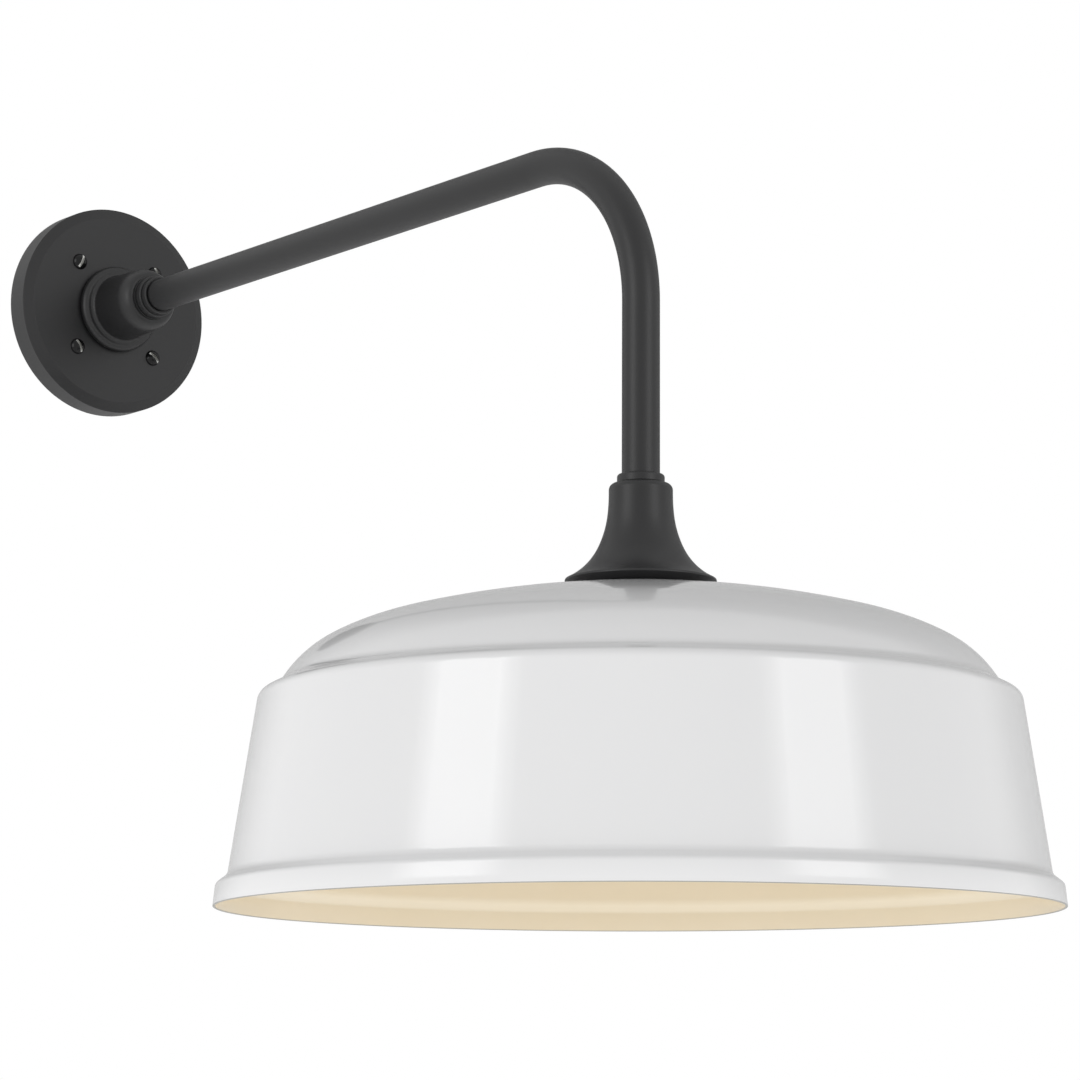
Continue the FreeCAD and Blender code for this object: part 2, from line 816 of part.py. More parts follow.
def make_plate_screws(doc, sizes):
    pairs = zip(screw_centres(sizes), SLOT_ANGLES)
    return grouped(doc, "plate_screws", place_at_wall, sizes, [
        round_head_screw(sizes, centre, angle) for centre, angle in pairs])


def make_ground_screw(doc, sizes):
    """Earth screw with its washer; the earth lead lies under its head."""
    body = new_body(doc, "ground_screw", place_at_wall, sizes)
    wire_back = wire_plane(sizes) - wire_radius(sizes)
    wire_front = wire_plane(sizes) + wire_radius(sizes)
    x, y = ground_screw_x(sizes), sizes.ground_screw_y
    steps = [("shank", ZERO, wire_front, sizes.ground_screw_radius),
             ("washer", sizes.strap_thickness, wire_back - sizes.strap_thickness, sizes.ground_washer_radius),
             ("head", wire_front, sizes.ground_head_height, sizes.ground_head_radius)]
    for name, start, length, radius in steps:
        sketch = new_sketch(body, "ground_" + name, "XY_Plane", start)
        add_circle(sketch, x, y, radius)
        padded(doc, body, "ground_" + name + "_pad", sketch, length)
    top = wire_front + sizes.ground_head_height
    slot = new_sketch(body, "ground_slot", "XY_Plane", top)
    half, reach = sizes.ground_slot_width / 2, sizes.ground_head_radius + sizes.cut_overrun
    add_outline(slot, oblong(x - reach, x + reach, y - half, y + half))
    pocketed(doc, body, "ground_slot_cut", slot, sizes.ground_head_height / 2)
    return body


def make_wall_hub(doc, sizes):
    """Cast hub: a rounded bead on the plate, a tapering body and a rounded nose."""
    face, front = face_depth(sizes), hub_front_depth(sizes)
    bore = tube_radius(sizes) + sizes.running_gap
    bead = sizes.hub_bead_round
    foot_angle, inner_angle = sizes.hub_bead_foot_angle, sizes.hub_bead_inner_angle
    centre_radius = sizes.hub_bead_radius - bead
    centre_depth = face + bead * sine(foot_angle)
    foot_radius = centre_radius - bead * cosine(inner_angle)
    nose_radius = foot_radius - sizes.hub_taper
    body = turned(doc, "wall_hub", place_at_wall, sizes, [
        (bore, face), (centre_radius + bead * cosine(foot_angle), face, bead, "left"),
        (sizes.hub_bead_radius, centre_depth, bead, "left"),
        (centre_radius, centre_depth + bead, bead, "left"),
        (foot_radius, centre_depth + bead * sine(inner_angle)), (nose_radius, front), (bore, front)])
    rounded(doc, body, "nose_round", sizes.hub_nose_round, [(nose_radius, front)])
    hole = new_sketch(body, "set_screw_hole", "XZ_Plane")
    add_circle(hole, ZERO, hub_screw_depth(sizes), sizes.grub_radius + sizes.running_gap)
    pocketed(doc, body, "set_screw_cut", hole, foot_radius + sizes.cut_overrun)
    return body


def make_grub_screw(doc, label, place, sizes, height):
    """Set screw that bears on the tube from local +Y, at a height along local Z."""
    body = new_body(doc, label, place, sizes)
    seat = tube_radius(sizes)
    ring = new_sketch(body, label + "_ring", "XZ_Plane", -seat)
    add_circle(ring, ZERO, height, sizes.grub_radius)
    padded(doc, body, label + "_pad", ring, sizes.grub_length, backwards=True)
    key = new_sketch(body, label + "_key", "XZ_Plane", -(seat + sizes.grub_length))
    add_circle(key, ZERO, height, sizes.grub_key_radius)
    pocketed(doc, body, label + "_key_cut", key, sizes.grub_key_depth, forwards=True)
    return body


def make_hub_collar(doc, sizes):
    """Stepped stop collar that the tube carries in front of the hub."""
    bore = tube_radius(sizes)
    front_radius = bore + sizes.stop_front_wall
    middle_radius = front_radius + sizes.stop_middle_step
    back_radius = middle_radius + sizes.stop_back_step
    start = hub_front_depth(sizes)
    middle = start + sizes.stop_back_length
    step = middle + sizes.stop_middle_length
    front = step + sizes.stop_front_length
    recess_radius, floor = bore + sizes.stop_recess_width, front - sizes.stop_recess_depth
    body = turned(doc, "hub_collar", place_at_wall, sizes, [
        (bore, start), (back_radius, start), (back_radius, middle), (middle_radius, middle),
        (middle_radius, step), (front_radius, step), (front_radius, front), (recess_radius, front),
        (recess_radius, floor), (bore, floor)])
    rounded(doc, body, "front_round", sizes.stop_front_round, [(front_radius, front), (middle_radius, step)])
    return body


def make_lock_washer(doc, sizes):
    bore = tube_radius(sizes) + sizes.running_gap
    top = web_depth(sizes)
    low = top - sizes.lock_washer_thickness
    outer = tube_radius(sizes) + sizes.lock_washer_width
    return turned(doc, "arm_lock_washer", place_at_wall, sizes, oblong(bore, outer, low, top))


def make_hex_nut(doc, label, place, sizes, flats, bore, low, thickness):
    """Hexagon nut with a plain bore for its thread."""
    body = new_body(doc, label, place, sizes)
    sketch = new_sketch(body, label + "_outline", "XY_Plane", low)
    corner = flats / math.sqrt(3)
    angles = [Size(60.0 * index, repr(60.0 * index)) for index in range(6)]
    add_outline(sketch, [(corner * cosine(angle), corner * sine(angle)) for angle in angles])
    add_circle(sketch, ZERO, ZERO, bore)
    padded(doc, body, label + "_pad", sketch, thickness)
    return body


def make_arm_lock_nut(doc, sizes):
    low = web_depth(sizes) - sizes.lock_washer_thickness - sizes.lock_nut_thickness
    bore, flats = tube_radius(sizes) + sizes.running_gap, sizes.tube_diameter + sizes.lock_nut_wall * 2
    return make_hex_nut(doc, "arm_lock_nut", place_at_wall, sizes, flats, bore, low, sizes.lock_nut_thickness)


def make_arm_bushing(doc, sizes):
    """Flanged sleeve that keeps the leads off the tube's edge."""
    end = tube_end_depth(sizes)
    outer = tube_bore(sizes) - sizes.running_gap
    bore = outer - sizes.bushing_wall
    back = end - sizes.bushing_flange_thickness
    inside = end + sizes.bushing_sleeve_length
    flange = tube_radius(sizes) - sizes.bushing_flange_inset
    return turned(doc, "arm_bushing", place_at_wall, sizes, [
        (bore, back), (flange, back), (flange, end), (outer, end), (outer, inside), (bore, inside)])


# Terminal block and leads

def block_fixing_y(sizes):
    rise = sizes.block_fixing_head_radius + sizes.block_screw_inset
    return rise - sizes.block_top_drop - sizes.block_height


def block_screw_y(sizes):
    return -(sizes.block_top_drop + sizes.block_screw_radius + sizes.block_screw_inset)


def make_terminal_block(doc, sizes):
    body = new_body(doc, "terminal_block", place_at_wall, sizes)
    base = new_sketch(body, "block_outline", "XY_Plane", sizes.strap_thickness)
    poles = pole_xs(sizes)
    middle, half = wire_x(sizes), sizes.wire_pitch * len(poles) / 2 + sizes.block_side_wall
    top = -sizes.block_top_drop
    low = top - sizes.block_height
    add_outline(base, oblong(middle - half, middle + half, low, top))
    padded(doc, body, "block_pad", base, sizes.block_depth)
    front = sizes.strap_thickness + sizes.block_depth
    wires = new_sketch(body, "wire_sockets", "XZ_Plane", -top)
    for x in poles:
        add_circle(wires, x, wire_plane(sizes), wire_radius(sizes) + sizes.running_gap)
    pocketed(doc, body, "wire_socket_cut", wires, sizes.block_wire_socket, forwards=True)
    wells = new_sketch(body, "screw_wells", "XY_Plane", front)
    for x in poles:
        add_circle(wells, x, block_screw_y(sizes), sizes.block_screw_radius + sizes.running_gap)
    pocketed(doc, body, "screw_well_cut", wells, front - wire_plane(sizes))
    fixing = new_sketch(body, "fixing_hole", "XY_Plane", front)
    add_circle(fixing, middle, block_fixing_y(sizes), sizes.block_fixing_radius + sizes.running_gap)
    pocketed(doc, body, "fixing_hole_cut", fixing, sizes.block_depth + sizes.cut_overrun)
    return body


def slotted_pin(x, y, low, high, radius, head_radius, head_height, slot):
    """A small slotted screw along local Z with its head at the top, from numbers."""
    axis = FreeCAD.Vector(0, 0, 1)
    pin = Part.makeCylinder(radius, high - low, FreeCAD.Vector(x, y, low), axis)
    if head_height:
        pin = pin.fuse(Part.makeCylinder(head_radius, head_height, FreeCAD.Vector(x, y, high), axis))
    top = high + head_height
    reach = 2 * head_radius
    deep = (head_height or slot * 2) / 2
    box = Part.makeBox(2 * reach, slot, 2 * deep, FreeCAD.Vector(x - reach, y - slot / 2, top - deep))
    return pin.cut(box).removeSplitter()


def make_terminal_screws(doc, sizes):
    """Clamp screws of the block's three poles."""
    front = (sizes.strap_thickness + sizes.block_depth).value
    low = (wire_plane(sizes) + wire_radius(sizes)).value
    high = front - sizes.block_screw_inset.value
    radius, slot = sizes.block_screw_radius.value, sizes.block_screw_slot.value
    y = block_screw_y(sizes).value
    solids = [slotted_pin(x.value, y, low, high, radius, radius, 0.0, slot) for x in pole_xs(sizes)]
    return grouped(doc, "terminal_screws", place_at_wall, sizes, solids)


def make_block_screw(doc, sizes):
    front = (sizes.strap_thickness + sizes.block_depth).value
    solid = slotted_pin(wire_x(sizes).value, block_fixing_y(sizes).value, 0.0, front,
                        sizes.block_fixing_radius.value, sizes.block_fixing_head_radius.value,
                        sizes.block_fixing_head_height.value, sizes.block_screw_slot.value)
    return grouped(doc, "block_screw", place_at_wall, sizes, [solid])


def make_arm_lead(doc, label, side, sizes):
    """A lead from its holder terminal, up and along the arm, to the terminal block."""
    height, bend = sizes.arm_over_rim, sizes.arm_bend_radius
    start = holder_top_height(sizes) + sizes.terminal_height - sizes.terminal_socket
    turn = sizes.wire_exit_bend
    reach = sizes.wall_to_shade_axis - wire_plane(sizes)
    end = height - sizes.block_top_drop - sizes.block_wire_socket + sizes.running_gap
    path = [(ZERO, start), (ZERO, height - bend, bend, "right"), (bend, height),
            (reach - turn, height, turn, "right"), (reach, height - turn), (reach, end)]
    x = wire_x(sizes) * side
    return swept(doc, label, place_at_shade, sizes, "XY_Plane", [(x, ZERO, wire_radius(sizes))], path,
                 start, "YZ_Plane", x)


def make_ground_wire(doc, sizes):
    """Earth lead from the block's third pole to the earth screw."""
    x = pole_xs(sizes)[-1]
    start = -(sizes.block_top_drop + sizes.block_wire_socket - sizes.running_gap)
    bend = sizes.ground_wire_bend
    end = ground_screw_x(sizes) - sizes.ground_screw_radius - sizes.running_gap
    path = [(x, start), (x, sizes.ground_screw_y - bend, bend, "right"), (x + bend, sizes.ground_screw_y),
            (end, sizes.ground_screw_y)]
    ring = [(x, wire_plane(sizes), wire_radius(sizes))]
    return swept(doc, "ground_wire", place_at_wall, sizes, "XZ_Plane", ring, path, -start, "XY_Plane",
                 wire_plane(sizes))


# Arm and bell fitter

def make_arm_tube(doc, sizes):
    height, bend = sizes.arm_over_rim, sizes.arm_bend_radius
    end = sizes.wall_to_shade_axis - tube_end_depth(sizes)
    foot = tube_foot_height(sizes)
    path = [(ZERO, foot), (ZERO, height - bend, bend, "right"), (bend, height), (end, height)]
    rings = [(ZERO, ZERO, tube_radius(sizes)), (ZERO, ZERO, tube_bore(sizes))]
    return swept(doc, "arm_tube", place_at_shade, sizes, "XY_Plane", rings, path, foot, "YZ_Plane")


def make_fitter_collar(doc, sizes):
    low, bore = bell_top_height(sizes), tube_radius(sizes)
    outer, high = bore + sizes.collar_wall, low + sizes.collar_height
    nick = sizes.collar_foot_chamfer
    body = turned(doc, "fitter_collar", place_at_shade, sizes, [
        (bore, low), (outer - nick, low), (outer, low + nick), (outer, high), (bore, high)])
    rounded(doc, body, "collar_round", sizes.collar_top_round, [(outer, high)])
    return body


def flare_corners(sizes):
    """Outside of the bell from its lip up to its neck, as three tangent hollow arcs."""
    out, down = flare_reach(sizes)
    radius, height = neck_radius(sizes) + out, lip_top_height(sizes)
    arcs = flare_arcs(sizes)
    corners = []
    for (bend, angle), last in zip(reversed(arcs), [arcs[1][1], arcs[0][1], ZERO]):
        corners.append((radius, height, bend, "right"))
        radius = radius - bend * (cosine(last) - cosine(angle))
        height = height + bend * (sine(angle) - sine(last))
    return corners + [(radius, height)]


def make_fitter_bell(doc, sizes):
    """Cast bell, cored out from below, with a boss for the nipple and a socket for the tube."""
    top, foot, core = bell_top_height(sizes), bell_foot_height(sizes), bell_core_height(sizes)
    tube_foot, neck = tube_foot_height(sizes), neck_radius(sizes)
    flare = flare_corners(sizes)
    bore = tube_radius(sizes) + sizes.running_gap
    thread = sizes.nipple_radius + sizes.running_gap
    wireway = sizes.nipple_radius - sizes.nipple_stop
    boss = sizes.nipple_radius + sizes.bell_boss_wall
    seat = bell_seat_radius(sizes)
    inner_seat = seat - sizes.bell_seat_width
    body = turned(doc, "fitter_bell", place_at_shade, sizes, [
        (thread, foot), (boss, foot), (boss, core), (boss + sizes.bell_core_width, core),
        (inner_seat - sizes.bell_core_knee_inset, foot + sizes.bell_core_knee_rise),
        (inner_seat, foot + sizes.bell_bevel_rise), (inner_seat, foot), (seat, foot),
        (flare[0][0], flare[0][1] - sizes.bell_lip_thickness)] + flare + [
        (neck, top), (bore, top), (bore, tube_foot), (wireway, tube_foot), (wireway, core), (thread, core)])
    rounded(doc, body, "shoulder_round", sizes.bell_shoulder_round, [(neck, top)])
    hole = new_sketch(body, "set_screw_hole", "XZ_Plane")
    add_circle(hole, ZERO, top - sizes.bell_screw_drop, sizes.grub_radius + sizes.running_gap)
    pocketed(doc, body, "set_screw_cut", hole, seat + sizes.cut_overrun)
    return body


def make_fitter_gasket(doc, sizes):
    low, high = seat_height(sizes), bell_foot_height(sizes)
    outer = bell_seat_radius(sizes) - sizes.seat_gasket_inset
    inner = outer - sizes.seat_gasket_width
    return turned(doc, "fitter_gasket", place_at_shade, sizes, oblong(inner, outer, low, high))


def make_fitter_nipple(doc, sizes):
    """Threaded pipe from the bell's boss, through the shade, down into the lampholder's cap."""
    low = cap_top_height(sizes) - sizes.nipple_overrun
    high = bell_core_height(sizes) - sizes.nipple_top_inset
    outer = sizes.nipple_radius
    inner = outer - sizes.nipple_wall
    return turned(doc, "fitter_nipple", place_at_shade, sizes, oblong(inner, outer, low, high))


# Shade

def dome_corners(sizes, inset):
    """Outside of the dome from its foot up to the seat, or the same curve set in by the sheet."""
    radius, height, last = ZERO, crown_height(sizes), ZERO
    corners = []
    for bend, angle in dome_arcs(sizes):
        radius = radius + bend * (sine(angle) - sine(last))
        height = height - bend * (cosine(last) - cosine(angle))
        corners.append((radius - inset * sine(angle), height - inset * cosine(angle), bend - inset, "left"))
        last = angle
    corners.reverse()
    return corners


def set_in(before, corner, after, inset):
    """A corner of the sheet's outside moved to its inside, square to both edges."""
    first, second = heading(before, corner), heading(corner, after)
    share = inset / (count(1) + cosine(second - first))
    across, along = sine(first) + sine(second), cosine(first) + cosine(second)
    return (corner[0] - share * across, corner[1] + share * along)


def make_shade(doc, sizes):
    """Spun sheet: rim band, step, tapering drum, ledge and dome, open below."""
    rim = (sizes.rim_radius, ZERO)
    band = (rim[0] - sizes.band_flare, sizes.band_height)
    foot = (band[0] - sizes.step_width, band[1] + sizes.step_rise)
    top = (foot[0] - sizes.drum_flare, foot[1] + sizes.drum_height)
    ledge = (top[0] - sizes.ledge_width, top[1] + sizes.ledge_rise)
    sheet = sizes.shade_sheet
    seat = (shade_seat_radius(sizes), seat_height(sizes))
    outer_dome = dome_corners(sizes, ZERO)
    inner_dome = dome_corners(sizes, sheet)
    hole = sizes.nipple_radius + sizes.running_gap
    outside = [rim, band, foot, top, ledge]
    onward = outside[2:] + [outer_dome[0][:2]]
    inside = [set_in(*corners, sheet) for corners in zip(outside, outside[1:], onward)]
    inner_seat = (seat[0], seat[1] - sheet)
    returning = [inner_seat + (inner_dome[-1][2], "right")]
    upward = list(reversed(inner_dome))
    for index, corner in enumerate(upward):
        bend = upward[index + 1][2:3] + ("right",) if index + 1 < len(upward) else ()
        returning.append(corner[:2] + bend)
    corners = outside + outer_dome + [seat, (hole, seat[1]), (hole, inner_seat[1])]
    corners += returning + list(reversed(inside)) + [(sizes.rim_radius - sheet, ZERO)]
    body = turned(doc, "shade", place_at_shade, sizes, corners)
    band_in, foot_in, top_in, ledge_in = inside
    rounded(doc, body, "band_corner", sizes.band_corner_round, [band])
    rounded(doc, body, "band_corner_inside", sizes.band_corner_round - sheet, [band_in])
    rounded(doc, body, "drum_foot", sizes.drum_foot_round, [foot])
    rounded(doc, body, "drum_foot_inside", sizes.drum_foot_round + sheet, [foot_in])
    rounded(doc, body, "drum_top", sizes.drum_top_round, [top])
    rounded(doc, body, "drum_top_inside", sizes.drum_top_round - sheet, [top_in])
    rounded(doc, body, "ledge", sizes.ledge_round, [ledge])
    rounded(doc, body, "ledge_inside", sizes.ledge_round + sheet, [ledge_in])
    return body


def make_shade_washer(doc, sizes):
    high = clamp_height(sizes)
    low = high - sizes.clamp_washer_thickness
    bore, outer = sizes.nipple_radius + sizes.running_gap, sizes.clamp_washer_radius
    return turned(doc, "shade_washer", place_at_shade, sizes, oblong(bore, outer, low, high))


def make_shade_nut(doc, sizes):
    low = clamp_height(sizes) - sizes.clamp_washer_thickness - sizes.clamp_nut_thickness
    bore = sizes.nipple_radius + sizes.running_gap
    return make_hex_nut(doc, "shade_nut", place_at_shade, sizes, sizes.clamp_nut_flats, bore, low,
                        sizes.clamp_nut_thickness)


# Lampholder

def make_socket_cap(doc, sizes):
    top = cap_top_height(sizes)
    low = top - sizes.holder_cap_height
    outer, sheet = cap_radius(sizes), sizes.holder_cap_sheet
    inner = outer - sheet
    bore = sizes.nipple_radius + sizes.running_gap
    body = turned(doc, "socket_cap", place_at_shade, sizes, [
        (inner, low), (outer, low), (outer, top), (bore, top), (bore, top - sheet), (inner, top - sheet)])
    rounded(doc, body, "cap_round", sizes.holder_cap_round, [(outer, top)])
    rounded(doc, body, "cap_round_inside", sizes.holder_cap_round - sheet, [(inner, top - sheet)])
    holes = new_sketch(body, "cap_screw_holes", "XY_Plane", top)
    offset, radius = holder_screw_offset(sizes), sizes.holder_screw_radius + sizes.running_gap
    for side in (-1, 1):
        add_circle(holes, ZERO, offset * side, radius)
    pocketed(doc, body, "cap_screw_cut", holes, sheet + sizes.cut_overrun)
    return body


def make_socket_body(doc, sizes):
    """Porcelain body with its bore, the seat for the cap and the holes for rivets and screws."""
    top, foot, roof = holder_top_height(sizes), holder_foot_height(sizes), bore_top_height(sizes)
    skirt = cap_top_height(sizes) - sizes.holder_cap_height - sizes.running_gap
    neck, bore = holder_neck_radius(sizes), holder_bore(sizes)
    outer = cap_radius(sizes) - sizes.holder_body_step
    mouth = outer - sizes.holder_body_taper
    body = turned(doc, "socket_body", place_at_shade, sizes, [
        (ZERO, roof), (bore, roof), (bore, foot), (mouth, foot), (outer, skirt), (neck, skirt),
        (neck, top), (ZERO, top)])
    rounded(doc, body, "mouth_round", sizes.holder_mouth_round, [(mouth, foot)])
    rivets = new_sketch(body, "rivet_holes", "XY_Plane", top)
    for x in (-wire_x(sizes), shell_rivet_x(sizes)):
        add_circle(rivets, x, ZERO, sizes.rivet_radius + sizes.running_gap)
    pocketed(doc, body, "rivet_hole_cut", rivets, top - roof + sizes.cut_overrun)
    screws = new_sketch(body, "holder_screw_holes", "XY_Plane", top)
    offset, radius = holder_screw_offset(sizes), sizes.holder_screw_radius + sizes.running_gap
    for side in (-1, 1):
        add_circle(screws, ZERO, offset * side, radius)
    pocketed(doc, body, "holder_screw_cut", screws, sizes.holder_screw_bite)
    return body


def make_socket_shell(doc, sizes):
    """Screw shell of thin sheet, riveted to the porcelain's roof."""
    roof, foot = bore_top_height(sizes), holder_foot_height(sizes) + sizes.shell_inset
    bore = shell_bore(sizes)
    outer, sheet, window = bore + sizes.shell_sheet, sizes.shell_sheet, shell_window_radius(sizes)
    body = turned(doc, "socket_shell", place_at_shade, sizes, [
        (bore, foot), (outer, foot), (outer, roof), (window, roof),
        (window, roof - sheet), (bore, roof - sheet)])
    rivet = new_sketch(body, "shell_rivet", "XY_Plane", roof)
    add_circle(rivet, shell_rivet_x(sizes), ZERO, sizes.rivet_radius)
    padded(doc, body, "shell_rivet_pad", rivet, holder_top_height(sizes) - roof)
    return body


def make_socket_contact(doc, sizes):
    """Brass centre contact with its rivet to the line terminal."""
    body = new_body(doc, "socket_contact", place_at_shade, sizes)
    roof, sheet = bore_top_height(sizes), sizes.centre_tab_sheet
    tab = new_sketch(body, "centre_tab", "XY_Plane", roof - sheet)
    add_circle(tab, ZERO, ZERO, sizes.centre_tab_radius)
    padded(doc, body, "centre_tab_pad", tab, sheet)
    rivet = new_sketch(body, "centre_rivet", "XY_Plane", roof)
    add_circle(rivet, -wire_x(sizes), ZERO, sizes.rivet_radius)
    padded(doc, body, "centre_rivet_pad", rivet, holder_top_height(sizes) - roof)
    return body


def make_socket_terminals(doc, sizes):
    """Two brass blocks on the porcelain that take the leads' ends."""
    low = holder_top_height(sizes).value
    inner, length = (wire_x(sizes) - sizes.terminal_inner_reach).value, sizes.terminal_length.value
    width, height = sizes.terminal_width.value, sizes.terminal_height.value
    hole = wire_radius(sizes).value + sizes.running_gap.value
    deep, over = sizes.terminal_socket.value, sizes.cut_overrun.value
    solids = []
    for side in (-1, 1):
        start = inner if side > 0 else -inner - length
        block = Part.makeBox(length, width, height, FreeCAD.Vector(start, -width / 2, low))
        mouth = FreeCAD.Vector(wire_x(sizes).value * side, 0, low + height - deep)
        solids.append(block.cut(Part.makeCylinder(hole, deep + over, mouth)))
    return grouped(doc, "socket_terminals", place_at_shade, sizes, solids)


def make_socket_screws(doc, sizes):
    """Two screws that hold the porcelain in the cap."""
    top, low = cap_top_height(sizes).value, (holder_top_height(sizes) - sizes.holder_screw_bite).value
    offset, radius = holder_screw_offset(sizes).value, sizes.holder_screw_radius.value
    solids = []
    for side in (-1, 1):
        solids.append(slotted_pin(0.0, offset * side, low, top, radius, sizes.holder_screw_head_radius.value,
                                  sizes.holder_screw_head_height.value, sizes.holder_screw_slot.value))
    return grouped(doc, "socket_screws", place_at_shade, sizes, solids)


# Lamp

def lamp_base_top(sizes):
    return tip_top_height(sizes) - sizes.lamp_tip_height - sizes.lamp_cone_height


def lamp_base_foot(sizes):
    return lamp_base_top(sizes) - sizes.lamp_base_length


def cone_foot_radius(sizes):
    return sizes.lamp_base_radius - sizes.lamp_cone_inset


def make_bulb_contact(doc, sizes):
    top = tip_top_height(sizes)
    low = top - sizes.lamp_tip_height
    radius = sizes.lamp_tip_radius
    return turned(doc, "bulb_contact", place_at_shade, sizes, oblong(ZERO, radius, low, top))


def make_bulb_insulator(doc, sizes):
    low = lamp_base_top(sizes)
    high = low + sizes.lamp_cone_height - sizes.running_gap
    return turned(doc, "bulb_insulator", place_at_shade, sizes, [
        (ZERO, low), (cone_foot_radius(sizes), low), (sizes.lamp_cone_top_radius, high), (ZERO, high)])


def make_bulb_base(doc, sizes):
    """Screw base of thin sheet, its thread at the crest."""
    low, high = lamp_base_foot(sizes), lamp_base_top(sizes)
    outer, sheet = sizes.lamp_base_radius, sizes.lamp_base_sheet
    inner, cone = outer - sheet, cone_foot_radius(sizes)
    roof = cone / 2
    return turned(doc, "bulb_base", place_at_shade, sizes, [
        (inner, low), (outer, low), (outer, high - sheet), (cone, high),
        (roof, high), (roof, high - sheet), (inner - sheet, high - sheet), (inner, high - sheet * 2)])


def make_bulb_glass(doc, sizes):
    """Glass envelope: a neck in the base, a flare and a round globe."""
    wall, globe = sizes.lamp_glass, sizes.lamp_globe_radius
    neck, flare = sizes.lamp_base_radius - sizes.lamp_neck_inset, sizes.lamp_flare_radius
    neck_low = lamp_base_foot(sizes) - sizes.lamp_neck_length
    neck_high = lamp_base_foot(sizes) + sizes.lamp_neck_length / 2
    across = neck + flare
    fall = leg(globe + flare, across)
    centre = neck_low - fall
    share = globe / (globe + flare)
    touch = (across * share, centre + fall * share)
    inner = globe - wall
    inner_share = inner / (globe + flare)
    inner_touch = (across * inner_share, centre + fall * inner_share)
    return turned(doc, "bulb_glass", place_at_shade, sizes, [
        (ZERO, centre - globe, globe, "left"), (globe, centre, globe, "left"), touch + (flare, "right"),
        (neck, neck_low), (neck, neck_high), (neck - wall, neck_high),
        (neck - wall, neck_low, flare + wall, "left"), inner_touch + (inner, "right"),
        (inner, centre, inner, "right"), (ZERO, centre - inner)])


def make_parts(doc, sizes):
    """Every piece of the light, in the order it is put together."""
    return [
        make_wall_plate(doc, sizes), make_wall_gasket(doc, sizes), make_mounting_plate(doc, sizes),
        make_plate_screws(doc, sizes), make_ground_screw(doc, sizes), make_wall_hub(doc, sizes),
        make_grub_screw(doc, "hub_set_screw", place_at_wall, sizes, hub_screw_depth(sizes)),
        make_hub_collar(doc, sizes), make_lock_washer(doc, sizes), make_arm_lock_nut(doc, sizes),
        make_arm_tube(doc, sizes), make_arm_bushing(doc, sizes), make_terminal_block(doc, sizes),
        make_terminal_screws(doc, sizes), make_block_screw(doc, sizes),
        make_arm_lead(doc, "line_wire", -1, sizes), make_arm_lead(doc, "neutral_wire", 1, sizes),
        make_ground_wire(doc, sizes), make_fitter_collar(doc, sizes), make_fitter_bell(doc, sizes),
        make_grub_screw(doc, "bell_set_screw", place_at_shade, sizes,
                        bell_top_height(sizes) - sizes.bell_screw_drop),
        make_fitter_gasket(doc, sizes), make_fitter_nipple(doc, sizes), make_shade(doc, sizes),
        make_shade_washer(doc, sizes), make_shade_nut(doc, sizes), make_socket_cap(doc, sizes),
        make_socket_body(doc, sizes), make_socket_shell(doc, sizes), make_socket_contact(doc, sizes),
        make_socket_terminals(doc, sizes), make_socket_screws(doc, sizes), make_bulb_contact(doc, sizes),
        make_bulb_insulator(doc, sizes), make_bulb_base(doc, sizes), make_bulb_glass(doc, sizes)]


def check(doc, parts):
    """Stop before anything is written if an object failed or a shape is bad."""
    for thing in doc.Objects:
        if "Invalid" in thing.State or "Error" in thing.State:
            raise RuntimeError(f"{thing.Label} did not build: {thing.State}")
    for part in parts:
        if part.Shape.isNull() or not part.Shape.isValid() or not part.Shape.Solids:
            raise RuntimeError(f"{part.Label} has a bad shape")


def main():
    doc = FreeCAD.newDocument("barn_light")
    sizes = Sheet(doc)
    parts = make_parts(doc, sizes)
    doc.recompute()
    check(doc, parts)
    os.makedirs("parts", exist_ok=True)
    for part in parts:
        part.Shape.exportStep(os.path.join("parts", part.Label + ".step"))
        print(f"{part.Label}: {len(part.Shape.Solids)} solids, {part.Shape.Volume:.0f} cubic mm")


main()
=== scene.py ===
import json
import logging
from collections.abc import Callable, Sequence
from dataclasses import dataclass, field
from enum import Enum
from math import asin, ceil, cos, degrees, pi, radians, sin, tan

import bmesh
import bpy
from bpy.types import ID, Material, Mesh, MeshPolygon, Node, NodeSocket, NodeTree, Object
from mathutils import Matrix, Vector

